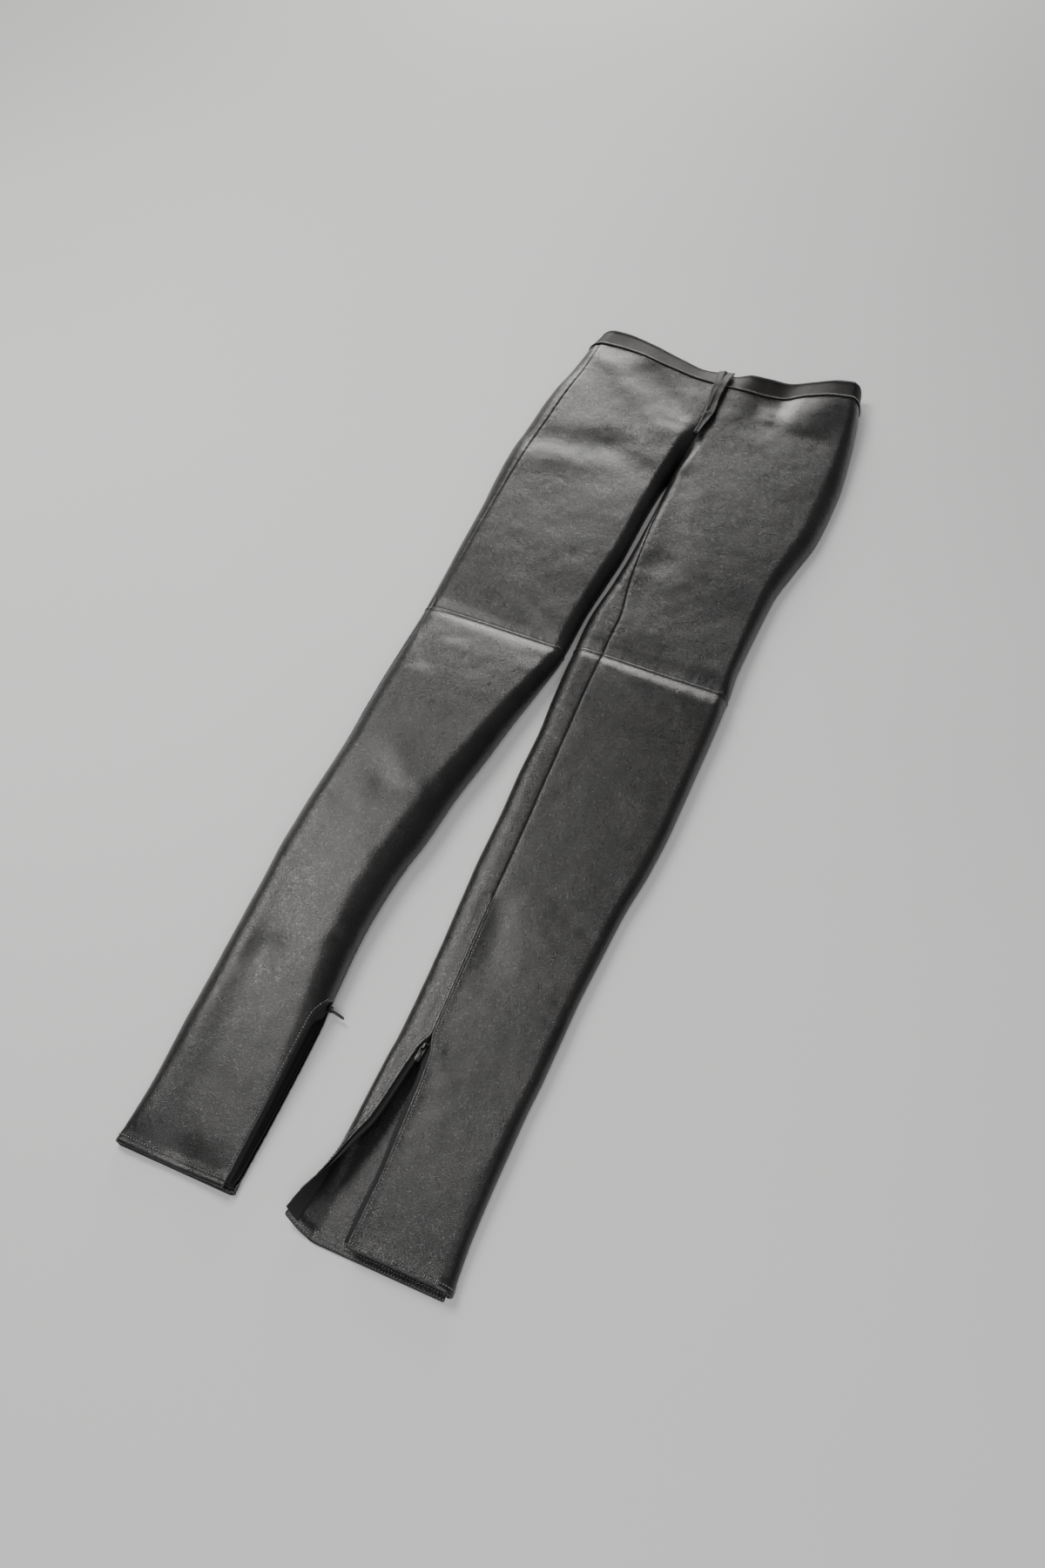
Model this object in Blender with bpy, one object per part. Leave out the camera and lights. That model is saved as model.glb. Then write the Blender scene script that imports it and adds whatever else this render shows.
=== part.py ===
"""Leather trousers laid flat on a floor, front up.

The garment frame is in millimetres: x runs to the right, y from the foot of the fly (0) up to the
waist and down to the hems (about -950), z up from the floor. "left" is -x and "right" is +x.
Each leg is a tube. Its section at a station along the leg is worked out from a table row: where
its outer and inner edges lie, how high it stands, how high and how round its two side folds are
and where the seams run. Every panel is a grid on that surface with the leather's thickness inward.
"""
import math

import bmesh
import bpy
import numpy as np

# ------------------------------------------------------------------ driving sizes, millimetres
MIDDLE_X = 0.62          # middle of the laid garment's box in the garment frame
MIDDLE_Y = -405.53
MM = 0.001

WALL = 1.5               # leather of the panels
BAND_WALL = 2.4          # waistband, two layers of leather
BAND_PROUD = 0.4         # how far the band stands above the panels
BAND_WIDTH = 28.0
BAND_END_GAP = 0.4       # from each end of a half to the garment's middle
HEM_WALL = 2.5           # hem, turned up once
HEM_DEPTH = 9.0
HALF_GAP = 0.15          # half of the space that parts two pieces at a seam
TAPE_WALL = 0.9
LAYER_GAP = 0.35         # space between two pieces that lie on each other

WAIST = 84.0             # station of the waist seam
CROTCH = -72.0
ABOVE_CROTCH = 0.01      # the first station of the joined body, above the legs' own sections
FLY_FOOT = -7.0
SHAPE_FADE = -60.0       # below this station the waist no longer bends the stations
SLOPE_FADE = 35.0        # over this stretch above the crotch the inner fold turns into a slope
KNEE = {"left": -352.0, "right": -342.0}
HEM_FRONT = {"left": -945.0, "right": -948.0}
HEM_BACK = {"left": -945.0, "right": -952.0}
ZIP_TOP = -629.0
SLIDER = {"left": -780.0, "right": -782.0}
SLIDER_ROOM = 5.0        # the zip runs straight this far each way from the slider's middle
SLIDER_SHARE = {"left": 0.3, "right": 0.5}       # its place from the back edge to the front edge
OPEN_FROM = -766.0       # the ankle opening's edges begin to part
OPEN_FULL = -800.0
TAPE_SHOWS = 3.5         # tape beyond the leather's edge where the zip is open
TAPE_APART = 1.15        # half of the space between the closed zip's tapes
TAPE_LAST_COLUMN = 1.0   # least spacing of the tape's last two columns of points
UPPER_MARKS = (CROTCH, SHAPE_FADE, -30.0, FLY_FOOT)      # stations that have a row of points
LOWER_MARKS = (-400.0, ZIP_TOP, OPEN_FROM)
ANKLE_MARKS = (OPEN_FULL, -850.0, -900.0)

SIDES = {"left": -1.0, "right": 1.0}
COLUMNS = ("y", "outer", "inner", "crown", "outer_rise", "inner_rise", "outer_round",
           "inner_round", "outseam", "front_edge", "back_edge")
# A row for each section. outer, inner: x of the two edges. crown: height of the flat middle.
# rise: height of the widest point of a side fold. round: width over which the fold rounds off.
# outseam: distance in from the outer edge, below 0 down the side. front_edge, back_edge: distance
# in from the inner edge, below 0 down the side, of the two sides of the inseam and its opening.
SECTIONS = {
    "left": (
        (130, -151.0, 1.0, 24.0, 7.0, 17.0, 18.0, 30.0, 11.0, 0.0, 0.0),
        (84, -161.5, 3.0, 25.0, 8.0, 25.0, 20.0, 30.0, 12.0, 0.0, 0.0),
        (50, -163.7, 5.0, 25.0, 8.5, 24.0, 21.0, 26.0, 15.0, 0.0, 0.0),
        (0, -170.4, 5.5, 26.0, 9.0, 21.5, 22.0, 18.0, 19.0, 0.0, 0.0),
        (-30, -172.8, 3.0, 26.0, 9.0, 14.0, 22.0, 14.0, 20.0, 0.0, 0.0),
        (-55, -173.3, 0.4, 26.0, 9.0, 6.0, 22.0, 12.0, 19.5, 0.0, 0.0),
        (-72, -173.8, -0.65, 26.0, 9.0, 1.65, 22.0, 12.0, 19.0, 0.0, 0.0),
        (-100, -174.9, -2.5, 26.0, 9.0, 6.0, 22.0, 12.0, 19.0, 0.0, 0.0),
        (-150, -172.6, -3.0, 26.0, 9.0, 10.0, 22.0, 12.0, 17.0, 0.0, 0.0),
        (-200, -168.6, -3.0, 26.0, 9.0, 10.0, 22.0, 12.0, 13.0, 0.0, 0.0),
        (-250, -166.5, -6.0, 26.0, 9.0, 10.0, 22.0, 12.0, 12.0, 0.0, 0.0),
        (-300, -163.0, -9.0, 25.0, 9.0, 10.0, 21.0, 12.0, 9.8, 0.0, 0.0),
        (-352, -160.6, -8.7, 24.0, 9.0, 10.0, 20.0, 12.0, 7.0, -1.0, -1.0),
        (-400, -159.0, -14.0, 29.0, 10.0, 11.0, 20.0, 14.0, 6.0, -2.0, -2.0),
        (-450, -157.8, -21.0, 33.0, 11.0, 12.0, 21.0, 17.0, 4.6, -3.0, -3.0),
        (-500, -156.2, -27.0, 35.0, 11.5, 12.0, 22.0, 21.0, 4.5, -3.5, -3.5),
        (-550, -154.5, -34.0, 36.0, 12.0, 12.0, 22.0, 25.0, 4.0, -3.5, -3.5),
        (-600, -155.2, -38.0, 36.0, 12.0, 12.0, 22.0, 28.0, 0.0, -3.5, -3.5),
        (-650, -154.7, -45.0, 35.0, 12.0, 12.0, 22.0, 28.0, -3.0, -3.5, -3.5),
        (-700, -151.4, -47.0, 33.5, 12.0, 11.0, 22.0, 27.0, -3.0, -3.5, -3.5),
        (-764, -148.4, -43.2, 30.0, 11.0, 10.0, 22.0, 24.0, -3.0, -3.0, -3.0),
        (-781, -147.5, -41.5, 28.4, 10.5, 9.5, 22.0, 22.0, -3.0, 2.5, -4.6),
        (-798, -146.7, -39.7, 27.0, 10.0, 9.0, 21.0, 21.0, -3.0, 7.0, -4.6),
        (-850, -144.6, -38.0, 22.0, 8.0, 7.5, 19.0, 18.0, -3.0, 8.0, -4.0),
        (-900, -142.3, -37.5, 16.5, 6.0, 6.0, 16.0, 15.0, -3.0, 8.0, -2.5),
        (-950, -143.5, -37.5, 11.5, 4.5, 4.5, 14.0, 12.0, -2.0, 8.0, -1.0),
    ),
    "right": (
        (130, 145.0, 1.0, 25.0, 7.0, 17.0, 12.0, 30.0, 0.0, 0.0, 0.0),
        (112, 152.5, 1.8, 25.0, 6.5, 19.0, 12.0, 30.0, 0.0, 0.0, 0.0),
        (84, 159.0, 3.0, 25.0, 6.0, 25.0, 13.0, 30.0, 0.0, 0.0, 0.0),
        (50, 166.3, 5.0, 23.0, 5.0, 22.6, 16.0, 26.0, 0.0, 0.0, 0.0),
        (0, 173.5, 5.5, 22.5, 3.8, 21.5, 20.0, 18.0, 0.0, 0.0, 0.0),
        (-30, 176.0, 3.0, 22.0, 3.5, 14.0, 22.0, 14.0, 0.0, 0.0, 0.0),
        (-55, 176.0, 0.4, 22.0, 3.5, 6.0, 22.0, 12.0, 0.0, 0.0, 0.0),
        (-72, 175.6, -0.35, 22.0, 3.5, 1.65, 22.0, 12.0, 0.0, 0.0, 0.0),
        (-100, 174.0, 1.0, 22.0, 3.8, 5.5, 20.0, 14.0, 0.0, 1.0, 1.0),
        (-150, 165.0, 2.0, 22.0, 4.8, 8.0, 17.0, 13.0, 0.0, 4.0, 4.0),
        (-200, 157.0, 1.5, 21.5, 5.8, 8.0, 14.0, 14.0, -2.0, 10.6, 10.6),
        (-250, 155.0, -1.5, 21.0, 6.2, 8.0, 12.0, 14.0, -5.0, 20.0, 20.0),
        (-300, 154.0, -5.0, 21.5, 6.8, 8.0, 10.0, 14.0, -8.0, 31.0, 31.0),
        (-342, 156.5, -3.0, 22.0, 7.0, 8.0, 10.0, 14.0, -9.0, 30.0, 30.0),
        (-400, 157.5, 0.0, 21.0, 7.0, 8.0, 10.0, 14.0, -10.0, 29.0, 29.0),
        (-450, 157.5, 4.5, 20.0, 7.0, 8.0, 10.0, 14.0, -10.0, 27.0, 27.0),
        (-500, 157.5, 6.0, 19.0, 7.0, 8.0, 10.0, 14.0, -10.0, 28.0, 28.0),
        (-550, 155.0, 9.0, 18.0, 7.0, 7.5, 10.0, 16.0, -10.0, 27.7, 27.7),
        (-600, 149.5, 10.5, 17.5, 7.0, 7.5, 10.0, 18.0, -10.0, 28.4, 28.4),
        (-650, 147.0, 14.0, 17.0, 7.0, 7.5, 10.0, 18.0, -10.0, 27.0, 27.0),
        (-700, 145.0, 17.5, 17.0, 7.0, 7.5, 10.0, 18.0, -10.0, 26.3, 26.3),
        (-768, 145.0, 20.5, 17.0, 6.5, 7.5, 10.0, 17.0, -10.0, 27.0, 27.0),
        (-785, 144.5, 21.0, 17.0, 6.5, 7.5, 10.0, 16.0, -10.0, 31.8, 20.5),
        (-800, 144.0, 21.0, 17.0, 6.5, 7.5, 10.0, 16.0, -10.0, 34.0, 18.0),
        (-850, 144.0, 20.5, 17.0, 6.0, 7.5, 11.0, 16.0, -10.0, 38.5, 12.0),
        (-900, 145.0, 20.5, 15.5, 5.5, 7.5, 12.0, 15.0, -9.0, 41.5, 12.0),
        (-956, 149.5, 20.5, 13.5, 5.0, 7.5, 13.0, 15.0, -8.0, 41.5, 12.0),
    ),
}

# Below the right slider the back panel's free edge curls: root is where it leaves the floor.
CURL_COLUMNS = ("y", "root", "edge_x", "edge_z")
CURL = (
    (-760, 29.0, 46.0, 16.5),
    (-800, 29.0, 40.0, 16.5),
    (-850, 30.0, 34.7, 18.0),
    (-875, 32.0, 28.0, 21.0),
    (-900, 34.0, 21.2, 20.0),
    (-925, 37.0, 13.8, 16.0),
    (-956, 38.5, 6.5, 9.0),
)
HEM_CORNER_LIFT = 9.0    # the curled corner of that hem lies this much nearer the knee
LIFT_FROM = -880.0       # the lift grows from this station to the hem
LIFT_CURVE = 1.5
CURL_REACH = 70.0        # length of leather that the curl may take up
CURL_FADE = 60.0         # the underside shifts with the curl's root over this length

# The waist: y of the front's seam and top edge, their heights, and y of the back's top edge.
WAIST_COLUMNS = ("x", "seam_y", "edge_y", "seam_z", "edge_z", "back_y")
WAIST_LINE = (
    (-155, 92.0, 119.5, 24.0, 25.0, 119.0),
    (-125, 91.0, 119.0, 26.0, 26.0, 119.0),
    (-90, 86.0, 114.5, 28.0, 24.0, 118.0),
    (-55, 80.0, 108.5, 26.5, 20.0, 117.0),
    (-20, 76.0, 104.0, 25.0, 16.5, 116.0),
    (12, 76.0, 104.0, 25.0, 19.0, 116.0),
    (35, 78.0, 106.0, 24.0, 26.0, 117.0),
    (55, 81.5, 110.0, 21.0, 24.0, 118.5),
    (75, 87.0, 114.5, 19.0, 21.0, 121.0),
    (100, 95.0, 122.5, 26.0, 25.5, 127.0),
    (125, 104.0, 133.0, 29.0, 28.5, 134.0),
    (150, 111.0, 141.0, 28.0, 27.0, 140.0),
)

# The largest folds: a ridge, or a trough where height is below 0, along a line.
FOLD_COLUMNS = ("x1", "y1", "x2", "y2", "width", "height")
FOLDS = (
    (-141, 66, -79, 20, 20, 1.2),
    (-79, 20, -34, -22, 20, 0.7),
    (-71, 66, -16, 18, 17, -1.5),
    (-152, -88, -74, -68, 20, -1.3),
    (-74, -68, -19, -93, 20, -1.0),
    (-151, -112, -100, -112, 18, 0.6),
    (97, 22, 133, 18, 13, -0.8),
    (14, -80, 36, -208, 16, -1.0),
    (36, -208, 40, -262, 16, -0.5),
    (-89, -293, -26, -326, 16, 0.9),
    (-92, -320, -30, -342, 14, -0.7),
    (-150, -352, -14, -352, 9, -2.2),
    (2, -342, 150, -342, 9, -2.2),
    (39, -358, 150, -362, 9, 1.4),
    (-146, -363, -123, -426, 12, -1.3),
    (-110, -530, -75, -563, 18, 1.1),
    (-92, -574, -56, -563, 15, -1.4),
    (-127, -684, -112, -760, 18, -2.2),
    (-112, -760, -96, -927, 18, -2.6),
    (50, -639, 64, -696, 16, -1.2),
    (-128, -946, -72, -946, 20, -4.0),
)

# The fly: y, x of the flap's sewn edge, x of its free edge.
FLY_COLUMNS = ("y", "sewn", "free")
FLY = (
    (-7, 2.0, 8.0),
    (9, 3.0, 9.5),
    (34, 2.0, 13.0),
    (60, -1.5, 11.0),
    (112, -6.0, 12.0),
)
FLAP_RISE = 3.4          # how far the flap's free edge stands off the front
FLAP_CLEAR = 0.5         # under its sewn edge
FLAP_CURVE = 1.6
FLAP_SHARES = (0.0, 0.35, 0.7, 1.0)              # its columns, in shares of its width
FLAP_STEP = (8.0, 6.0)   # it climbs onto the band from this far below the seam, over this length
FLY_ZIP = 12.0           # half widths of the zip and of the shield behind it
FLY_SHIELD = 17.0
FLY_ZIP_WALL = 1.2
FLY_ZIP_DEPTH = 2.0      # the zip's top below the front's surface
FLY_TOP = 81.0           # the zip and its shield end under the band

# Ankle zip sliders and their pull tabs.
PLATE_WIDTH = 5.4
PLATE_LENGTH = 8.0
PLATE_WALL = 0.8
PLATE_DROP = 0.45        # the plate's top lies this far under the leather's surface
PLATE_CHAMFER = 0.5
WEB_WIDTH = 0.8
FOOT_WIDTH = 2.8
FOOT_DROP = 3.1          # the foot's top under the plate's top, clear of the tapes
FOOT_WALL = 0.8
ARCH_WIDTH = 1.6
ARCH_INSIDE = 1.7        # half of the arch's length inside
ARCH_CLEAR = 1.95        # its height inside
ARCH_BAR = 1.0
ARCH_ROOT = 0.4          # its feet reach this far into the plate
ARCH_CHAMFER = (0.6, 0.5)
PIVOT_HEIGHT = 0.85      # the tab's cross bar, above the plate
TAB_LENGTH = 14.0
TAB_WIDTH = 5.0
TAB_WALL = 1.0
TAB_HOLE = (2.8, 3.5)    # width and length of the hole that takes the arch
TAB_BAR = 0.5            # from the pivot to the tab's end and to its hole
TAB_CORNER = 1.6
HOLE_CORNER = 0.6
TAB_ANGLES = (20, 45, 63, 76, 84, 90, 96, 104, 117, 135, 160, 180, 205, 235, 252, 270, 288, 305,
              335, 360)  # degrees round the hole's middle at which the tab has a point
SLIDER_TILT = {"left": -12.0, "right": 90.0}     # degrees above level that its plate faces
TAB_REST = {"left": 75.0, "right": 0.0}          # degrees that its tab stands off the plate
NORMAL_STEP = 0.5
SECTION_SAMPLES = 241    # points along the top of a section
FOLD_SAMPLES = 25        # points round a side fold
COLUMN_SAMPLES = 400
ROUNDS = 40              # halvings in a search
SMOOTH_ANGLE = math.radians(50)
TURN_WEIGHT = 24.0       # millimetres of grid spacing that one radian of bend counts for
EDGE_LENGTH = 19.0       # spacing of the stations along a leg
UPPER_COLUMNS = {"front": 13, "back": 16}        # columns of points across a panel
LOWER_COLUMNS = {"front": 12, "back": 16}

MATERIALS = {
    "leather": ((0.016, 0.015, 0.016), 0.42, 0.0),
    "tape": ((0.010, 0.010, 0.011), 0.85, 0.0),
    "metal": ((0.30, 0.29, 0.28), 0.30, 1.0),
}


# ------------------------------------------------------------------ tables and curves
def monotone_slopes(places, values):
    """Slopes for a smooth curve through the values that never overshoots them."""
    rates = np.diff(values) / np.diff(places)
    before, after = rates[:-1], rates[1:]
    same_way = before * after > 0
    total = np.where(same_way, before + after, 1.0)
    middle = np.where(same_way, 2 * before * after / total, 0.0)
    return np.concatenate((rates[:1], middle, rates[-1:]))


def make_curves(columns, rows):
    """One smooth curve for each named column of a table, over its first column."""
    table = np.array(sorted(rows), dtype=float)
    places = table[:, 0]
    return {name: (places, table[:, i], monotone_slopes(places, table[:, i]))
            for i, name in enumerate(columns) if i > 0}


def read_curve(curve, place):
    """The curve's value at a place, held level beyond its ends."""
    places, values, slopes = curve
    place = np.clip(place, places[0], places[-1])
    i = np.clip(np.searchsorted(places, place, side="right") - 1, 0, len(places) - 2)
    span = places[i + 1] - places[i]
    t = (place - places[i]) / span
    start = (1 + 2 * t) * (1 - t) ** 2 * values[i] + t * (1 - t) ** 2 * span * slopes[i]
    end = t * t * (3 - 2 * t) * values[i + 1] - t * t * (1 - t) * span * slopes[i + 1]
    return start + end


def smooth_step(value):
    t = np.clip(value, 0.0, 1.0)
    return t * t * (3 - 2 * t)


SECTION_CURVES = {side: make_curves(COLUMNS, rows) for side, rows in SECTIONS.items()}
CURL_CURVES = make_curves(CURL_COLUMNS, CURL)
WAIST_CURVES = make_curves(WAIST_COLUMNS, WAIST_LINE)
FLY_CURVES = make_curves(FLY_COLUMNS, FLY)


# ------------------------------------------------------------------ the surface
def fold_height(x, y):
    """Sum of the large folds at a place on the upper side."""
    height = np.zeros_like(x)
    for row in FOLDS:
        fold = dict(zip(FOLD_COLUMNS, row))
        run_x, run_y = fold["x2"] - fold["x1"], fold["y2"] - fold["y1"]
        from_x, from_y = x - fold["x1"], y - fold["y1"]
        share = np.clip((from_x * run_x + from_y * run_y) / (run_x ** 2 + run_y ** 2), 0.0, 1.0)
        gap = (from_x - share * run_x) ** 2 + (from_y - share * run_y) ** 2
        height += fold["height"] * np.exp(-gap / fold["width"] ** 2)
    return height


def swell(share, power):
    """0 at an edge and 1 from share 1 on: power 0.5 is round, 1 meets the edge at a slope."""
    return (1 - (1 - np.clip(share, 0.0, 1.0)) ** 2) ** power


def crown_height(side, station, x):
    """Height of the middle of a section; at the waist it follows the waist's own line."""
    plain = read_curve(SECTION_CURVES[side]["crown"], station)
    up = np.clip((station - WAIST) / BAND_WIDTH, 0.0, 1.0)
    seam = read_curve(WAIST_CURVES["seam_z"], x)
    edge = read_curve(WAIST_CURVES["edge_z"], x)
    waist = seam + (edge - seam) * up
    return plain + (waist - plain) * smooth_step(station / WAIST)


def top_height(side, station, x):
    """Height of the upper surface."""
    row = {name: read_curve(curve, station) for name, curve in SECTION_CURVES[side].items()}
    from_outer = np.abs(x - row["outer"])
    from_inner = np.abs(x - row["inner"])
    base = row["outer_rise"] + (row["inner_rise"] - row["outer_rise"]) * (
        from_outer / abs(row["inner"] - row["outer"]))
    full = crown_height(side, station, x) + fold_height(x, station)
    slope_power = 0.5 + 0.5 * smooth_step((station - CROTCH) / SLOPE_FADE)
    return base + (full - base) * swell(from_outer / row["outer_round"], 0.5) * swell(
        from_inner / row["inner_round"], slope_power)


def station_y(side, station, x, upper):
    """y of a surface point: the waist bends the stations, upper is 1 on top and 0 underneath."""
    up = np.clip((station - WAIST) / BAND_WIDTH, 0.0, 1.0)
    seam = read_curve(WAIST_CURVES["seam_y"], x)
    edge = read_curve(WAIST_CURVES["edge_y"], x)
    back = read_curve(WAIST_CURVES["back_y"], x)
    seam = seam * upper + (back - BAND_WIDTH) * (1 - upper)
    edge = edge * upper + back * (1 - upper)
    bend = (seam + (edge - seam) * up) - (WAIST + BAND_WIDTH * up)
    fade = smooth_step((station - SHAPE_FADE) / (WAIST - SHAPE_FADE))
    return station + bend * fade


def add_length(x, z):
    return np.concatenate(([0.0], np.cumsum(np.hypot(np.diff(x), np.diff(z)))))


def curled_strip(station, distance):
    """Points of the curled back edge, by distance from its root along the leather."""
    root = read_curve(CURL_CURVES["root"], station)
    across = root - read_curve(CURL_CURVES["edge_x"], station)
    rise = read_curve(CURL_CURVES["edge_z"], station)
    if across > 0:
        turn = 2 * math.atan2(rise, across)
        radius = rise / (1 - math.cos(turn))
        length = radius * turn
    else:
        radius = rise / 2
        length = math.pi * radius - across
    angle = np.minimum(distance / radius, math.pi)
    level = np.maximum(distance - math.pi * radius, 0.0)
    x = root - radius * np.sin(angle) + level
    z = radius * (1 - np.cos(angle))
    return x, z, length


class Outline:
    """The outer line of one section, by distance along the leather.

    0 is the inner edge. Distances grow along the underside to the outer edge (at outer) and on
    over the top back to the inner edge (at end). Below 0 they run back over the top.
    """

    def __init__(self, side, station):
        self.side, self.station = side, station
        row = {name: read_curve(curve, station) for name, curve in SECTION_CURVES[side].items()}
        outer, inner = row["outer"], row["inner"]
        inward = math.copysign(1.0, inner - outer)
        step = np.linspace(0.0, math.pi, SECTION_SAMPLES)
        top_x = outer + (inner - outer) * (1 - np.cos(step)) / 2
        top_z = top_height(side, station, top_x)
        self.top_x = top_x
        self.top_s = add_length(top_x, top_z)
        quarter = np.linspace(0.0, math.pi / 2, FOLD_SAMPLES)
        inner_radius = row["inner_rise"] if station <= CROTCH else 0.0
        inner_x = inner - inward * inner_radius * (1 - np.cos(quarter))
        inner_z = inner_radius * (1 - np.sin(quarter))
        outer_x = outer + inward * row["outer_rise"] * (1 - np.sin(quarter))
        outer_z = row["outer_rise"] * (1 - np.cos(quarter))
        under_x = np.concatenate((inner_x, outer_x))
        under_z = np.concatenate((inner_z, outer_z))
        under_s = add_length(under_x, under_z)
        self.outer = under_s[-1]
        self.end = self.outer + self.top_s[-1]
        self.root = math.pi / 2 * inner_radius
        self.outer_fold = (self.outer - math.pi / 2 * row["outer_rise"],
                           self.outer + row["outer_round"])
        self.s = np.concatenate((self.top_s[:-1] - self.top_s[-1], under_s[:-1],
                                 self.outer + self.top_s[:-1], self.end + under_s))
        self.x = np.concatenate((top_x[:-1], under_x[:-1], top_x[:-1], under_x))
        self.z = np.concatenate((top_z[:-1], under_z[:-1], top_z[:-1], under_z))
        self.outseam = self.seam_place(row["outseam"], from_outer=True)
        self.front_edge = self.seam_place(row["front_edge"], from_outer=False)
        self.back_edge = self.seam_place(row["back_edge"], from_outer=False) - self.end
        if side == "right" and station < OPEN_FROM:
            self.curl()

    def seam_place(self, inset, from_outer):
        """Distance along the leather of a seam that lies inset from an edge."""
        edge = self.outer if from_outer else self.end
        if inset <= 0:
            return edge + inset if from_outer else edge - inset
        along = np.interp(inset, np.abs(self.top_x - self.top_x[0]), self.top_s)
        if from_outer:
            return self.outer + along
        width = abs(self.top_x[-1] - self.top_x[0])
        return self.outer + np.interp(width - inset, np.abs(self.top_x - self.top_x[0]), self.top_s)

    def curl(self):
        """Bend the inner end of the back panel into its curl."""
        share = smooth_step((OPEN_FROM - self.station) / (OPEN_FROM - OPEN_FULL))
        extra = np.arange(-CURL_REACH, self.root, NORMAL_STEP)
        x = np.interp(extra, self.s, self.x)
        z = np.interp(extra, self.s, self.z)
        curl_x, curl_z, length = curled_strip(self.station, self.root - extra)
        x = x + (curl_x - x) * share
        z = z + (curl_z - z) * share
        keep = self.s >= self.root
        root_x = self.x[keep][0]
        root_shift = (read_curve(CURL_CURVES["root"], self.station) - root_x) * share
        self.s = np.concatenate((extra, self.s[keep]))
        self.z = np.concatenate((z, self.z[keep]))
        fade = np.clip(1 - (self.s[len(extra):] - self.root) / CURL_FADE, 0.0, 1.0)
        self.x = np.concatenate((x, self.x[keep] + root_shift * fade))
        self.back_edge = self.back_edge + (self.root - length - self.back_edge) * share
        self.curl_length = self.root - self.back_edge

    def points(self, s):
        """3-D points of the surface at distances s."""
        x = np.interp(s, self.s, self.x)
        z = np.interp(s, self.s, self.z)
        low, high = self.outer_fold
        upper = smooth_step((s - low) / (high - low))
        y = station_y(self.side, self.station, x, upper)
        if self.side == "right" and self.station < OPEN_FULL:
            share = np.clip((self.root - s) / self.curl_length, 0.0, 1.2)
            near_hem = smooth_step((self.station - LIFT_FROM) / (HEM_BACK["right"] - LIFT_FROM))
            y = y + HEM_CORNER_LIFT * share ** LIFT_CURVE * near_hem
        return np.stack((x, y, z), axis=-1)


def unit(vectors):
    return vectors / np.linalg.norm(vectors, axis=-1, keepdims=True)


def surface(side, station, s):
    """Points and outward normals of the surface at distances s."""
    low, high = station - NORMAL_STEP, station + NORMAL_STEP
    if station <= CROTCH:
        high = min(high, CROTCH)
    else:
        low = max(low, CROTCH + ABOVE_CROTCH)
    line = Outline(side, station)
    around = line.points(s + NORMAL_STEP) - line.points(s - NORMAL_STEP)
    along = Outline(side, high).points(s) - Outline(side, low).points(s)
    return line.points(s), unit(np.cross(along, around) * SIDES[side])


def even_places(line, low, high, count):
    """Distances from low to high, closer together where the section bends."""
    s = np.linspace(low, high, COLUMN_SAMPLES)
    x = np.interp(s, line.s, line.x)
    z = np.interp(s, line.s, line.z)
    heading = np.unwrap(np.arctan2(np.diff(z), np.diff(x)))
    bend = np.concatenate(([0.0, 0.0], np.abs(np.diff(heading))))
    weight = np.cumsum(np.concatenate(([0.0], np.diff(s))) + TURN_WEIGHT * bend)
    return np.interp(np.linspace(0.0, weight[-1], count), weight, s)


def stations(*marks):
    """Stations through the marks, evenly filled in between."""
    result = [marks[0]]
    for before, after in zip(marks, marks[1:]):
        steps = max(1, round(abs(after - before) / EDGE_LENGTH))
        result += [before + (after - before) * i / steps for i in range(1, steps + 1)]
    return result


def panel_columns(line, face, count):
    """Distances of a panel's columns of points between its two seams."""
    above_crotch = line.station > CROTCH
    if face == "front":
        low = line.outseam + HALF_GAP
        high = (line.end if above_crotch else line.front_edge) - HALF_GAP
    else:
        low = (0.0 if above_crotch else line.back_edge) + HALF_GAP
        high = line.outseam - HALF_GAP
    return even_places(line, low, high, count)


def panel(side, face, places, count):
    """Grid of a front or back panel: points, normals and the distances of its columns."""
    points, normals, distances = [], [], []
    for station in places:
        s = panel_columns(Outline(side, station), face, count)
        p, n = surface(side, station, s)
        points.append(p)
        normals.append(n)
        distances.append(s)
    return np.array(points), np.array(normals), np.array(distances)


# ------------------------------------------------------------------ solids
def material(name):
    existing = bpy.data.materials.get(name)
    if existing:
        return existing
    colour, roughness, metallic = MATERIALS[name]
    made = bpy.data.materials.new(name)
    made.use_nodes = True
    shader = made.node_tree.nodes["Principled BSDF"]
    shader.inputs["Base Color"].default_value = (*colour, 1.0)
    shader.inputs["Roughness"].default_value = roughness
    shader.inputs["Metallic"].default_value = metallic
    return made


def to_world(points):
    """Garment frame in millimetres to the part's frame in metres."""
    return (np.asarray(points) - (MIDDLE_X, MIDDLE_Y, 0.0)) * MM


def add_object(name, mesh_data, finish, origin=(MIDDLE_X, MIDDLE_Y, 0.0)):
    """An object for a bmesh in world metres, with its origin at a point of the garment frame."""
    place = to_world(origin)
    for vertex in mesh_data.verts:
        vertex.co -= vertex.co.__class__(place)
    bmesh.ops.recalc_face_normals(mesh_data, faces=mesh_data.faces)
    mesh = bpy.data.meshes.new(name)
    mesh_data.to_mesh(mesh)
    mesh_data.free()
    mesh.shade_smooth()
    mesh.set_sharp_from_angle(angle=SMOOTH_ANGLE)
    mesh.materials.append(material(finish))
    made = bpy.data.objects.new(name, mesh)
    made.location = place
    bpy.context.scene.collection.objects.link(made)
    return made


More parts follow.
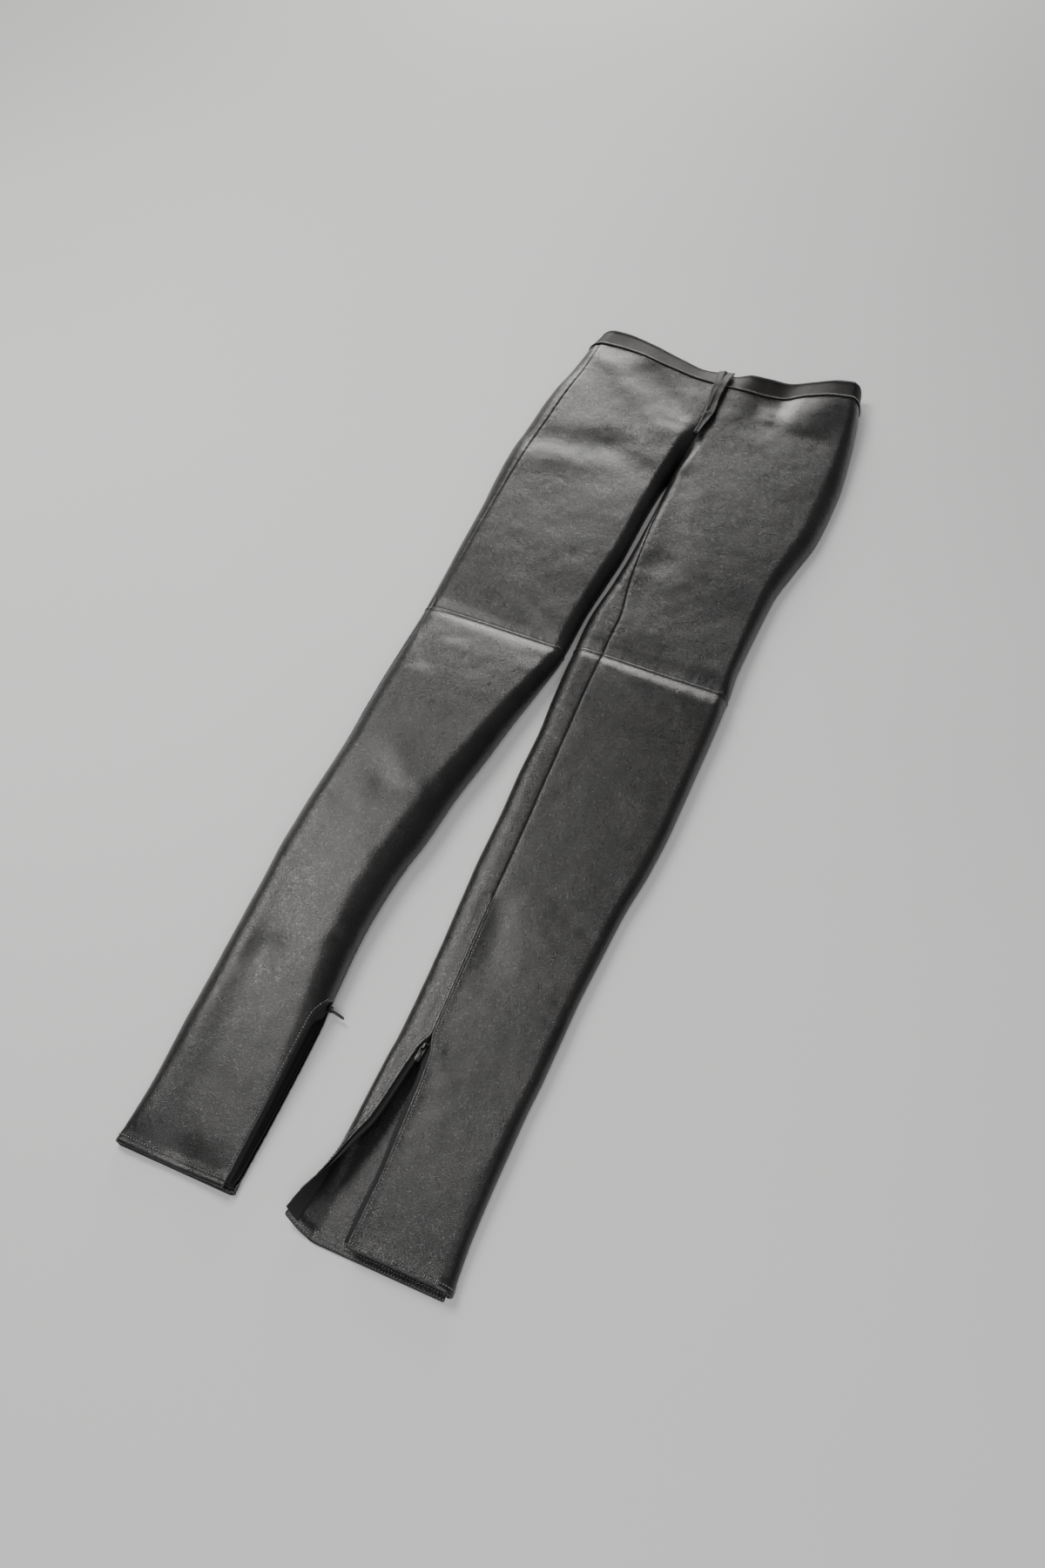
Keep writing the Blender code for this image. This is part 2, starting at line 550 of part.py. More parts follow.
def wall(name, outer, inner, finish):
    """A closed wall between two grids of the same shape."""
    rows, columns = outer.shape[:2]
    mesh_data = bmesh.new()
    outside = [[mesh_data.verts.new(p) for p in row] for row in to_world(outer)]
    inside = [[mesh_data.verts.new(p) for p in row] for row in to_world(inner)]
    for i in range(rows - 1):
        for j in range(columns - 1):
            mesh_data.faces.new((outside[i][j], outside[i][j + 1], outside[i + 1][j + 1],
                                 outside[i + 1][j]))
            mesh_data.faces.new((inside[i][j], inside[i + 1][j], inside[i + 1][j + 1],
                                 inside[i][j + 1]))
    rim = ([(i, 0) for i in range(rows)] + [(rows - 1, j) for j in range(1, columns)]
           + [(i, columns - 1) for i in range(rows - 2, -1, -1)]
           + [(0, j) for j in range(columns - 2, 0, -1)])
    for (i, j), (k, m) in zip(rim, rim[1:] + rim[:1]):
        mesh_data.faces.new((outside[i][j], outside[k][m], inside[k][m], inside[i][j]))
    return add_object(name, mesh_data, finish)


def on_floor(points):
    """Nothing reaches below the floor."""
    lifted = points.copy()
    lifted[..., 2] = np.maximum(lifted[..., 2], 0.0)
    return lifted


def wall_depth(places, hem):
    """Thickness at each station: the last stretch before a hem is doubled."""
    return np.array([HEM_WALL if hem and place <= hem + HEM_DEPTH else WALL
                     for place in places])[:, None, None]


def make_upper_panels(side):
    places = stations(KNEE[side] + HALF_GAP, *UPPER_MARKS, WAIST - HALF_GAP)
    for face, count in UPPER_COLUMNS.items():
        points, normals, _ = panel(side, face, places, count)
        wall(f"{face}_upper_{side}", on_floor(points), points - normals * WALL, "leather")


def make_lower_panels(side):
    for face, count in LOWER_COLUMNS.items():
        hem = (HEM_FRONT if face == "front" else HEM_BACK)[side]
        places = stations(KNEE[side] - HALF_GAP, *LOWER_MARKS, SLIDER[side] + SLIDER_ROOM,
                          SLIDER[side] - SLIDER_ROOM, *ANKLE_MARKS, hem + HEM_DEPTH, hem)
        points, normals, distances = panel(side, face, places, count)
        depth = wall_depth(places, hem)
        wall(f"{face}_lower_{side}", on_floor(points), points - normals * depth, "leather")
        make_zip_tape(side, face, places, distances, depth)


def zip_line(side, station, line):
    """Where the zip's halves meet: midway along the closed seam, straight through the slider."""
    seam = (line.front_edge - line.end + line.back_edge) / 2
    at_slider = Outline(side, SLIDER[side])
    front, back = at_slider.front_edge - at_slider.end, at_slider.back_edge
    straight_from = SLIDER[side] + SLIDER_ROOM
    closed = np.clip((station - straight_from) / (OPEN_FROM - straight_from), 0.0, 1.0)
    through = back + (front - back) * SLIDER_SHARE[side]
    return through + (seam - through) * closed


def make_zip_tape(side, face, places, distances, depth):
    """Tape inside one edge of the ankle opening, on the panel's own columns."""
    first = next(i for i, place in enumerate(places) if place <= ZIP_TOP)
    sign = 1.0 if face == "front" else -1.0
    outer, inner = [], []
    for i in range(first, len(places)):
        inside, edge = distances[i][-2:] if face == "front" else distances[i][1::-1]
        line = Outline(side, places[i])
        own_edge = line.front_edge - line.end if face == "front" else line.back_edge
        closed = abs(zip_line(side, places[i], line) - own_edge) - TAPE_APART
        straight_to = SLIDER[side] - SLIDER_ROOM
        parted = smooth_step((straight_to - places[i]) / (straight_to - OPEN_FULL))
        reach = closed + (TAPE_SHOWS - closed) * parted
        far = edge + sign * max(reach, TAPE_LAST_COLUMN)
        points, normals = surface(side, places[i], np.array((inside, edge, far)))
        if reach < TAPE_LAST_COLUMN:
            last = 1 + reach / abs(edge - inside)
            middle = last - TAPE_LAST_COLUMN / abs(edge - inside)
            share = np.array((0.0, middle, last))[:, None]
            points = points[0] + (points[1] - points[0]) * share
            normals = normals[0] + (normals[1] - normals[0]) * share
        order = slice(None) if face == "front" else slice(None, None, -1)
        top = depth[i, 0, 0] + LAYER_GAP
        outer.append((points - normals * top)[order])
        inner.append((points - normals * (top + TAPE_WALL))[order])
    wall(f"zip_tape_{face}_{side}", np.array(outer), np.array(inner), "tape")


def make_waistband(side):
    """Half of the band, from the fly round the side to the middle of the back."""
    points, normals = [], []
    for share in (0.0, 0.5, 1.0):
        station = WAIST + HALF_GAP + (BAND_WIDTH - HALF_GAP) * share
        line = Outline(side, station)
        back = panel_columns(line, "back", UPPER_COLUMNS["back"])
        front = panel_columns(line, "front", UPPER_COLUMNS["front"])
        s = np.concatenate((back[:-1], (line.outseam,), front[1:]))
        s = np.clip(s, BAND_END_GAP, line.end - BAND_END_GAP)
        p, n = surface(side, station, s)
        points.append(p)
        normals.append(n)
    points, normals = np.array(points), np.array(normals)
    outer = on_floor(points + normals * BAND_PROUD)
    inner = points - normals * (BAND_WALL - BAND_PROUD)
    wall(f"waistband_{side}", outer, inner, "leather")


def fly_strip(places, edges):
    """Points on the upper surface across the fly, for each station and each edge's x."""
    rows = []
    for station in places:
        middle = float(read_curve(SECTION_CURVES["left"]["inner"], station))
        x = np.array([edge(station, middle) for edge in edges])
        z = np.where(x < middle, top_height("left", station, x), top_height("right", station, x))
        y = station_y("left", station, x, 1.0)
        rows.append(np.stack((x, y, z), axis=-1))
    return np.array(rows)


def make_fly():
    places = stations(FLY_FOOT, WAIST - HALF_GAP)
    below_band = [p for p in places if p < FLY_TOP] + [FLY_TOP]
    make_fly_layer("fly_zip", below_band, (-FLY_ZIP, 0.0, FLY_ZIP), FLY_ZIP_DEPTH, FLY_ZIP_WALL,
                   "tape")
    shield_depth = FLY_ZIP_DEPTH + FLY_ZIP_WALL + LAYER_GAP
    make_fly_layer("fly_shield", below_band, (-FLY_SHIELD, -FLY_ZIP, 0.0, FLY_ZIP, FLY_SHIELD),
                   shield_depth, WALL, "leather")
    make_fly_flap(places + [WAIST + HALF_GAP, WAIST + BAND_WIDTH / 2, WAIST + BAND_WIDTH])


def make_fly_layer(name, places, insets, depth, thickness, finish):
    """A strip behind the fly, its columns at distances from the front's middle."""
    up = np.array((0.0, 0.0, 1.0))
    grid = fly_strip(places, [lambda station, middle, inset=inset: middle + inset
                              for inset in insets])
    wall(name, grid - up * depth, grid - up * (depth + thickness), finish)


def make_fly_flap(places):
    """The strip over the closure: sewn along one edge, standing off along the other."""
    def edge_at(share):
        def x_at(station, middle):
            sewn = read_curve(FLY_CURVES["sewn"], station)
            free = read_curve(FLY_CURVES["free"], station)
            return float(sewn + (free - sewn) * share)
        return x_at

    grid = fly_strip(places, [edge_at(share) for share in FLAP_SHARES])
    rise = np.array([FLAP_CLEAR + FLAP_RISE * share ** FLAP_CURVE for share in FLAP_SHARES])
    step_from, step_length = FLAP_STEP
    over_band = np.array([BAND_PROUD * smooth_step((p - WAIST + step_from) / step_length)
                          for p in places])
    lift = np.zeros_like(grid)
    lift[..., 2] = rise[None, :] + over_band[:, None]
    up = np.array((0.0, 0.0, WALL))
    wall("fly_flap", grid + lift + up, grid + lift, "leather")


# ------------------------------------------------------------------ ankle zip sliders and tabs
class SliderFrame:
    """Where a slider sits: centre on the plate's top, u across the zip, v up the leg, w out."""

    def __init__(self, side):
        middle, above, below = [self.on_zip(side, SLIDER[side] + step)
                                for step in (0.0, SLIDER_ROOM, -SLIDER_ROOM)]
        tilt = math.radians(SLIDER_TILT[side])
        facing = np.array((math.cos(tilt), 0.0, math.sin(tilt)))
        self.v = unit(above - below)
        self.w = unit(facing - self.v * (facing @ self.v))
        self.u = np.cross(self.v, self.w)
        self.origin = (middle + above + below) / 3 - self.w * PLATE_DROP
        self.pivot = self.origin + self.w * PIVOT_HEIGHT

    @staticmethod
    def on_zip(side, station):
        line = Outline(side, station)
        point, _ = surface(side, station, np.array((zip_line(side, station, line),)))
        return point[0]

    def place(self, u, v, w):
        return self.origin + self.u * u + self.v * v + self.w * w


def prism(name, frame, outline, low, high, axis, finish):
    """A flat outline of (a, b) pairs extruded along u or v of a slider's frame."""
    mesh_data = bmesh.new()
    rings = []
    for end in (low, high):
        ring = []
        for a, b in outline:
            place = frame.place(a, end, b) if axis == "v" else frame.place(end, a, b)
            ring.append(mesh_data.verts.new(to_world(place)))
        rings.append(ring)
    mesh_data.faces.new(rings[0])
    mesh_data.faces.new(rings[1][::-1])
    for i in range(len(outline)):
        j = (i + 1) % len(outline)
        mesh_data.faces.new((rings[0][i], rings[1][i], rings[1][j], rings[0][j]))
    return add_object(name, mesh_data, finish)


def make_slider(side, frame):
    """Top plate, web and foot in one, joined with the arch that holds the tab."""
    plate, web, foot = PLATE_WIDTH / 2, WEB_WIDTH / 2, FOOT_WIDTH / 2
    low = -PLATE_WALL
    web_end = -FOOT_DROP
    foot_end = web_end - FOOT_WALL
    level = plate - PLATE_CHAMFER
    outline = ((-plate, low), (-level, 0.0), (level, 0.0), (plate, low), (web, low),
               (web, web_end), (foot, web_end), (foot, foot_end), (-foot, foot_end),
               (-foot, web_end), (-web, web_end), (-web, low))
    body = prism(f"slider_{side}", frame, outline, -PLATE_LENGTH / 2, PLATE_LENGTH / 2, "v",
                 "metal")
    inside, outside = ARCH_INSIDE, ARCH_INSIDE + ARCH_BAR
    root, top = -ARCH_ROOT, ARCH_CLEAR + ARCH_BAR
    level, shoulder = outside - ARCH_CHAMFER[0], top - ARCH_CHAMFER[1]
    arch_outline = ((-outside, root), (-outside, shoulder), (-level, top), (level, top),
                    (outside, shoulder), (outside, root), (inside, root), (inside, ARCH_CLEAR),
                    (-inside, ARCH_CLEAR), (-inside, root))
    arch = prism(f"arch_guide_{side}", frame, arch_outline, -ARCH_WIDTH / 2, ARCH_WIDTH / 2, "u",
                 "metal")
    arch.hide_render = True
    arch.display_type = "WIRE"
    join = body.modifiers.new("join", "BOOLEAN")
    join.operation = "UNION"
    join.solver = "EXACT"
    join.object = arch


def tab_ring(width, low, high, corner, angles):
    """Points where rays from the hole's middle meet a rounded rectangle."""
    middle = (low + high) / 2
    half_length = (high - low) / 2
    half_width = width / 2
    centre = TAB_BAR + TAB_HOLE[1] / 2
    ring = []
    for angle in angles:
        ray = np.array((math.cos(angle), math.sin(angle)))
        near, far = 0.0, 2 * TAB_LENGTH
        for _ in range(ROUNDS):
            reach = (near + far) / 2
            u = abs(ray[0] * reach) - (half_width - corner)
            v = abs(centre + ray[1] * reach - middle) - (half_length - corner)
            inside = math.hypot(max(u, 0.0), max(v, 0.0)) + min(max(u, v), 0.0) <= corner
            near, far = (reach, far) if inside else (near, reach)
        ring.append((ray[0] * near, centre + ray[1] * near))
    return ring


def make_pull(side, frame):
    """A flat tab with a hole at one end, its cross bar held under the slider's arch."""
    hole_width, hole_length = TAB_HOLE
    angles = [math.radians(a) for a in TAB_ANGLES]
    outer = tab_ring(TAB_WIDTH, -TAB_BAR, TAB_LENGTH, TAB_CORNER, angles)
    inner = tab_ring(hole_width, TAB_BAR, TAB_BAR + hole_length, HOLE_CORNER, angles)
    turn = math.radians(TAB_REST[side])
    along = -frame.v * math.cos(turn) + frame.w * math.sin(turn)
    face = frame.v * math.sin(turn) + frame.w * math.cos(turn)
    mesh_data = bmesh.new()
    loops = {}
    for level in (-TAB_WALL / 2, TAB_WALL / 2):
        for key, ring in (("outer", outer), ("inner", inner)):
            loops[key, level > 0] = [
                mesh_data.verts.new(to_world(frame.pivot + frame.u * u + along * v + face * level))
                for u, v in ring]
    count = len(angles)
    for i in range(count):
        j = (i + 1) % count
        for upper in (False, True):
            mesh_data.faces.new((loops["outer", upper][i], loops["outer", upper][j],
                                 loops["inner", upper][j], loops["inner", upper][i]))
        for key in ("outer", "inner"):
            mesh_data.faces.new((loops[key, False][i], loops[key, False][j], loops[key, True][j],
                                 loops[key, True][i]))
    add_object(f"pull_{side}", mesh_data, "metal", origin=frame.pivot)


def main():
    for old in list(bpy.data.objects):
        bpy.data.objects.remove(old, do_unlink=True)
    for side in SIDES:
        make_upper_panels(side)
        make_lower_panels(side)
        make_waistband(side)
    make_fly()
    for side in SIDES:
        frame = SliderFrame(side)
        make_slider(side, frame)
        make_pull(side, frame)


main()
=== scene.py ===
"""Looks for the leather trousers that lie flat on a floor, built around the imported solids.

Lengths are in millimetres in the garment frame, as in the part's source: x runs to the right,
y up the garment from 0 just above the foot of the fly, z up from the floor. "left" is -x and
"right" is +x. A station is the y of a section before the waist's line bends it. to_world() turns
millimetres into metres of the shared frame. Every leather piece is a fine shell on the surface of
its solid, with the creases, seams and turned edges added.
"""
import math

import bpy
import numpy as np
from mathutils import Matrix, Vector


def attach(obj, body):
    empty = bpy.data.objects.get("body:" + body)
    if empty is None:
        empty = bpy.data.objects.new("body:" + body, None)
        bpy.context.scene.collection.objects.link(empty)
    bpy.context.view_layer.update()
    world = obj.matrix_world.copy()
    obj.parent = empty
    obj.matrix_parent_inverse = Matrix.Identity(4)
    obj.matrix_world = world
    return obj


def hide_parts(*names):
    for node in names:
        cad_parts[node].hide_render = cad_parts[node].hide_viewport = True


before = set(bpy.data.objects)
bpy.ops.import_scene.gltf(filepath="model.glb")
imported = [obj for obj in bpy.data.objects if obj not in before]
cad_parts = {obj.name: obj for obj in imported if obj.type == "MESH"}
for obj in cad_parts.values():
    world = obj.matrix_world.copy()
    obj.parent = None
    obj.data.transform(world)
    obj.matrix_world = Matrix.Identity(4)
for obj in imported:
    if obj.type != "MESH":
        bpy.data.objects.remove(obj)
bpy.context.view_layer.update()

# ---- sizes of the solids
MIDDLE = (0.62, -405.53, 0.0)    # under the middle of the laid garment's box
MM = 0.001

WALL = 1.5               # leather of the panels
HEM_WALL = 2.5           # hem, turned up once
HEM_DEPTH = 9.0
BAND_PROUD = 0.4         # how far the waistband stands above the panels
BAND_WIDTH = 28.0
HALF_GAP = 0.15          # half of the space that parts two pieces at a seam
LAYER_GAP = 0.35         # space between two pieces that lie on each other

WAIST = 84.0             # station of the waist seam
BAND_TOP = WAIST + BAND_WIDTH
CROTCH = -72.0
ABOVE_CROTCH = 0.01      # the first station of the joined body, above the legs' own sections
FLY_FOOT = -7.0
SHAPE_FADE = -60.0       # below this station the waist no longer bends the stations
SLOPE_FADE = 35.0        # over this stretch above the crotch the inner fold turns into a slope
KNEE = {"left": -352.0, "right": -342.0}
HEM = {"front": {"left": -945.0, "right": -948.0}, "back": {"left": -945.0, "right": -952.0}}
ZIP_TOP = -629.0
SLIDER = {"left": -780.0, "right": -782.0}
SLIDER_ROOM = 5.0        # the zip runs straight this far each way from the slider's middle
SLIDER_SHARE = {"left": 0.3, "right": 0.5}       # its place from the back edge to the front edge
OPEN_FROM = -766.0       # the ankle opening's edges begin to part
OPEN_FULL = -800.0
TAPE_SHOWS = 3.5         # tape beyond the leather's edge where the zip is open
TAPE_APART = 1.15        # half of the space between the closed zip's tapes

SIDES = {"left": -1.0, "right": 1.0}

# outer, inner: x of a section's two edges. crown: height of its flat middle. rise: height of the
# widest point of a side fold. round: width over which the fold rounds off. outseam: distance in
# from the outer edge, below 0 down the side. front_edge, back_edge: distance in from the inner
# edge, below 0 down the side, of the two sides of the inseam and its opening.
SECTION_COLUMNS = ("y", "outer", "inner", "crown", "outer_rise", "inner_rise", "outer_round",
                   "inner_round", "outseam", "front_edge", "back_edge")
LEFT_SECTIONS = (
    (130, -151, 1, 24, 7, 17, 18, 30, 11, 0, 0),
    (84, -161.5, 3, 25, 8, 25, 20, 30, 12, 0, 0),
    (50, -163.7, 5, 25, 8.5, 24, 21, 26, 15, 0, 0),
    (0, -170.4, 5.5, 26, 9, 21.5, 22, 18, 19, 0, 0),
    (-30, -172.8, 3, 26, 9, 14, 22, 14, 20, 0, 0),
    (-55, -173.3, 0.4, 26, 9, 6, 22, 12, 19.5, 0, 0),
    (-72, -173.8, -0.65, 26, 9, 1.65, 22, 12, 19, 0, 0),
    (-100, -174.9, -2.5, 26, 9, 6, 22, 12, 19, 0, 0),
    (-150, -172.6, -3, 26, 9, 10, 22, 12, 17, 0, 0),
    (-200, -168.6, -3, 26, 9, 10, 22, 12, 13, 0, 0),
    (-250, -166.5, -6, 26, 9, 10, 22, 12, 12, 0, 0),
    (-300, -163, -9, 25, 9, 10, 21, 12, 9.8, 0, 0),
    (-352, -160.6, -8.7, 24, 9, 10, 20, 12, 7, -1, -1),
    (-400, -159, -14, 29, 10, 11, 20, 14, 6, -2, -2),
    (-450, -157.8, -21, 33, 11, 12, 21, 17, 4.6, -3, -3),
    (-500, -156.2, -27, 35, 11.5, 12, 22, 21, 4.5, -3.5, -3.5),
    (-550, -154.5, -34, 36, 12, 12, 22, 25, 4, -3.5, -3.5),
    (-600, -155.2, -38, 36, 12, 12, 22, 28, 0, -3.5, -3.5),
    (-650, -154.7, -45, 35, 12, 12, 22, 28, -3, -3.5, -3.5),
    (-700, -151.4, -47, 33.5, 12, 11, 22, 27, -3, -3.5, -3.5),
    (-764, -148.4, -43.2, 30, 11, 10, 22, 24, -3, -3, -3),
    (-781, -147.5, -41.5, 28.4, 10.5, 9.5, 22, 22, -3, 2.5, -4.6),
    (-798, -146.7, -39.7, 27, 10, 9, 21, 21, -3, 7, -4.6),
    (-850, -144.6, -38, 22, 8, 7.5, 19, 18, -3, 8, -4),
    (-900, -142.3, -37.5, 16.5, 6, 6, 16, 15, -3, 8, -2.5),
    (-950, -143.5, -37.5, 11.5, 4.5, 4.5, 14, 12, -2, 8, -1),
)
RIGHT_SECTIONS = (
    (130, 145, 1, 25, 7, 17, 12, 30, 0, 0, 0),
    (112, 152.5, 1.8, 25, 6.5, 19, 12, 30, 0, 0, 0),
    (84, 159, 3, 25, 6, 25, 13, 30, 0, 0, 0),
    (50, 166.3, 5, 23, 5, 22.6, 16, 26, 0, 0, 0),
    (0, 173.5, 5.5, 22.5, 3.8, 21.5, 20, 18, 0, 0, 0),
    (-30, 176, 3, 22, 3.5, 14, 22, 14, 0, 0, 0),
    (-55, 176, 0.4, 22, 3.5, 6, 22, 12, 0, 0, 0),
    (-72, 175.6, -0.35, 22, 3.5, 1.65, 22, 12, 0, 0, 0),
    (-100, 174, 1, 22, 3.8, 5.5, 20, 14, 0, 1, 1),
    (-150, 165, 2, 22, 4.8, 8, 17, 13, 0, 4, 4),
    (-200, 157, 1.5, 21.5, 5.8, 8, 14, 14, -2, 10.6, 10.6),
    (-250, 155, -1.5, 21, 6.2, 8, 12, 14, -5, 20, 20),
    (-300, 154, -5, 21.5, 6.8, 8, 10, 14, -8, 31, 31),
    (-342, 156.5, -3, 22, 7, 8, 10, 14, -9, 30, 30),
    (-400, 157.5, 0, 21, 7, 8, 10, 14, -10, 29, 29),
    (-450, 157.5, 4.5, 20, 7, 8, 10, 14, -10, 27, 27),
    (-500, 157.5, 6, 19, 7, 8, 10, 14, -10, 28, 28),
    (-550, 155, 9, 18, 7, 7.5, 10, 16, -10, 27.7, 27.7),
    (-600, 149.5, 10.5, 17.5, 7, 7.5, 10, 18, -10, 28.4, 28.4),
    (-650, 147, 14, 17, 7, 7.5, 10, 18, -10, 27, 27),
    (-700, 145, 17.5, 17, 7, 7.5, 10, 18, -10, 26.3, 26.3),
    (-768, 145, 20.5, 17, 6.5, 7.5, 10, 17, -10, 27, 27),
    (-785, 144.5, 21, 17, 6.5, 7.5, 10, 16, -10, 31.8, 20.5),
    (-800, 144, 21, 17, 6.5, 7.5, 10, 16, -10, 34, 18),
    (-850, 144, 20.5, 17, 6, 7.5, 11, 16, -10, 38.5, 12),
    (-900, 145, 20.5, 15.5, 5.5, 7.5, 12, 15, -9, 41.5, 12),
    (-956, 149.5, 20.5, 13.5, 5, 7.5, 13, 15, -8, 41.5, 12),
)

# Below the right slider the back panel's free edge curls: root is where it leaves the floor.
CURL_COLUMNS = ("y", "root", "edge_x", "edge_z")
CURL = (
    (-760, 29, 46, 16.5),
    (-800, 29, 40, 16.5),
    (-850, 30, 34.7, 18),
    (-875, 32, 28, 21),
    (-900, 34, 21.2, 20),
    (-925, 37, 13.8, 16),
    (-956, 38.5, 6.5, 9),
)
CURL_FROM = -70.0        # the curled leather's points start at this distance round the section
CURL_STEP = 0.5
CURL_FADE = 60.0         # over this distance past its root the curl shifts the underside
CORNER_LIFT = 9.0        # the curled corner of that hem lies this much nearer the knee
CORNER_FROM = -880.0     # the lift grows from this station to the hem
CORNER_POWER, CORNER_LIMIT = 1.5, 1.2    # and towards the free edge

# The waist: y of the front's seam and top edge, their heights, and y of the back's top edge.
WAIST_COLUMNS = ("x", "seam_y", "edge_y", "seam_z", "edge_z", "back_y")
WAIST_LINE = (
    (-155, 92, 119.5, 24, 25, 119),
    (-125, 91, 119, 26, 26, 119),
    (-90, 86, 114.5, 28, 24, 118),
    (-55, 80, 108.5, 26.5, 20, 117),
    (-20, 76, 104, 25, 16.5, 116),
    (12, 76, 104, 25, 19, 116),
    (35, 78, 106, 24, 26, 117),
    (55, 81.5, 110, 21, 24, 118.5),
    (75, 87, 114.5, 19, 21, 121),
    (100, 95, 122.5, 26, 25.5, 127),
    (125, 104, 133, 29, 28.5, 134),
    (150, 111, 141, 28, 27, 140),
)

# The largest folds: a ridge, or a trough where height is below 0, along a line.
# Columns: x1, y1, x2, y2, width, height.
FOLDS = (
    (-141, 66, -79, 20, 20, 1.2),
    (-79, 20, -34, -22, 20, 0.7),
    (-71, 66, -16, 18, 17, -1.5),
    (-152, -88, -74, -68, 20, -1.3),
    (-74, -68, -19, -93, 20, -1),
    (-151, -112, -100, -112, 18, 0.6),
    (97, 22, 133, 18, 13, -0.8),
    (14, -80, 36, -208, 16, -1),
    (36, -208, 40, -262, 16, -0.5),
    (-89, -293, -26, -326, 16, 0.9),
    (-92, -320, -30, -342, 14, -0.7),
    (-150, -352, -14, -352, 9, -2.2),
    (2, -342, 150, -342, 9, -2.2),
    (39, -358, 150, -362, 9, 1.4),
    (-146, -363, -123, -426, 12, -1.3),
    (-110, -530, -75, -563, 18, 1.1),
    (-92, -574, -56, -563, 15, -1.4),
    (-127, -684, -112, -760, 18, -2.2),
    (-112, -760, -96, -927, 18, -2.6),
    (50, -639, 64, -696, 16, -1.2),
    (-128, -946, -72, -946, 20, -4),
)

# The fly: y, x of the flap's sewn edge, x of its free edge.
FLY_COLUMNS = ("y", "sewn", "free")
FLY = (
    (-7, 2, 8),
    (9, 3, 9.5),
    (34, 2, 13),
    (60, -1.5, 11),
    (112, -6, 12),
)

OUTLINE_POINTS = 241     # points on a section's upper side
QUARTER_POINTS = 25      # and round each quarter circle under it
NORMAL_STEP = 0.5        # a normal or a tangent is measured this far each way


# ---- tables and curves
def monotone_slopes(places, values):
    """Slopes for a smooth curve through the values that never overshoots them."""
    rates = np.diff(values) / np.diff(places)
    before, after = rates[:-1], rates[1:]
    same_way = before * after > 0
    total = np.where(same_way, before + after, 1.0)
    middle = np.where(same_way, 2 * before * after / total, 0.0)
    return np.concatenate((rates[:1], middle, rates[-1:]))


def make_curves(columns, rows):
    """One smooth curve for each named column of a table, over its first column."""
    table = np.array(sorted(rows), dtype=float)
    places = table[:, 0]
    return {name: (places, table[:, i], monotone_slopes(places, table[:, i]))
            for i, name in enumerate(columns) if i > 0}


def read_curve(curve, place):
    """The curve's value at a place, held level beyond its ends."""
    places, values, slopes = curve
    place = np.clip(place, places[0], places[-1])
    i = np.clip(np.searchsorted(places, place, side="right") - 1, 0, len(places) - 2)
    span = places[i + 1] - places[i]
    t = (place - places[i]) / span
    start = (1 + 2 * t) * (1 - t) ** 2 * values[i] + t * (1 - t) ** 2 * span * slopes[i]
    end = t * t * (3 - 2 * t) * values[i + 1] - t * t * (1 - t) * span * slopes[i + 1]
    return start + end


def read_rows(at, places, table):
    """Each column of a table of points read at other places."""
    return np.stack([np.interp(at, places, column) for column in table.T], axis=-1)


def smooth_step(value):
    t = np.clip(value, 0.0, 1.0)
    return t * t * (3 - 2 * t)


def unit(vectors):
    return vectors / np.linalg.norm(vectors, axis=-1, keepdims=True)


SECTION_CURVES = {"left": make_curves(SECTION_COLUMNS, LEFT_SECTIONS),
                  "right": make_curves(SECTION_COLUMNS, RIGHT_SECTIONS)}
CURL_CURVES = make_curves(CURL_COLUMNS, CURL)
WAIST_CURVES = make_curves(WAIST_COLUMNS, WAIST_LINE)
FLY_CURVES = make_curves(FLY_COLUMNS, FLY)


# ---- the surface
def fold_height(x, y):
    """Sum of the large folds at a place on the upper side."""
    height = np.zeros_like(x)
    for x1, y1, x2, y2, width, rise in FOLDS:
        along = np.array((x2 - x1, y2 - y1), dtype=float)
        share = ((x - x1) * along[0] + (y - y1) * along[1]) / (along @ along)
        share = np.clip(share, 0.0, 1.0)
        gap = (x - x1 - share * along[0]) ** 2 + (y - y1 - share * along[1]) ** 2
        height += rise * np.exp(-gap / width ** 2)
    return height


def swell(share, power):
    """0 at an edge and 1 from share 1 on: power 0.5 is round, 1 meets the edge at a slope."""
    return (1 - (1 - np.clip(share, 0.0, 1.0)) ** 2) ** power


def read_section(side, station):
    return {name: read_curve(curve, station) for name, curve in SECTION_CURVES[side].items()}


def up_the_band(station):
    return np.clip((station - WAIST) / BAND_WIDTH, 0.0, 1.0)


def top_height(side, station, x):
    """Height of the upper surface; at the waist its middle follows the waist's own line."""
    row = read_section(side, station)
    from_outer = np.abs(x - row["outer"])
    from_inner = np.abs(x - row["inner"])
    base = row["outer_rise"] + (row["inner_rise"] - row["outer_rise"]) * (
        from_outer / abs(row["inner"] - row["outer"]))
    seam, edge = (read_curve(WAIST_CURVES[name], x) for name in ("seam_z", "edge_z"))
    waist = seam + (edge - seam) * up_the_band(station)
    crown = row["crown"] + (waist - row["crown"]) * smooth_step(station / WAIST)
    full = crown + fold_height(x, station)
    slope_power = 0.5 + 0.5 * smooth_step((station - CROTCH) / SLOPE_FADE)
    return base + (full - base) * swell(from_outer / row["outer_round"], 0.5) * swell(
        from_inner / row["inner_round"], slope_power)


def station_y(station, x, upper):
    """y of a surface point: the waist bends the stations, upper is 1 on top and 0 underneath."""
    seam, edge, back = (read_curve(WAIST_CURVES[name], x)
                        for name in ("seam_y", "edge_y", "back_y"))
    seam = seam * upper + (back - BAND_WIDTH) * (1 - upper)
    edge = edge * upper + back * (1 - upper)
    up = up_the_band(station)
    bend = (seam + (edge - seam) * up) - (WAIST + BAND_WIDTH * up)
    fade = smooth_step((station - SHAPE_FADE) / (WAIST - SHAPE_FADE))
    return station + bend * fade


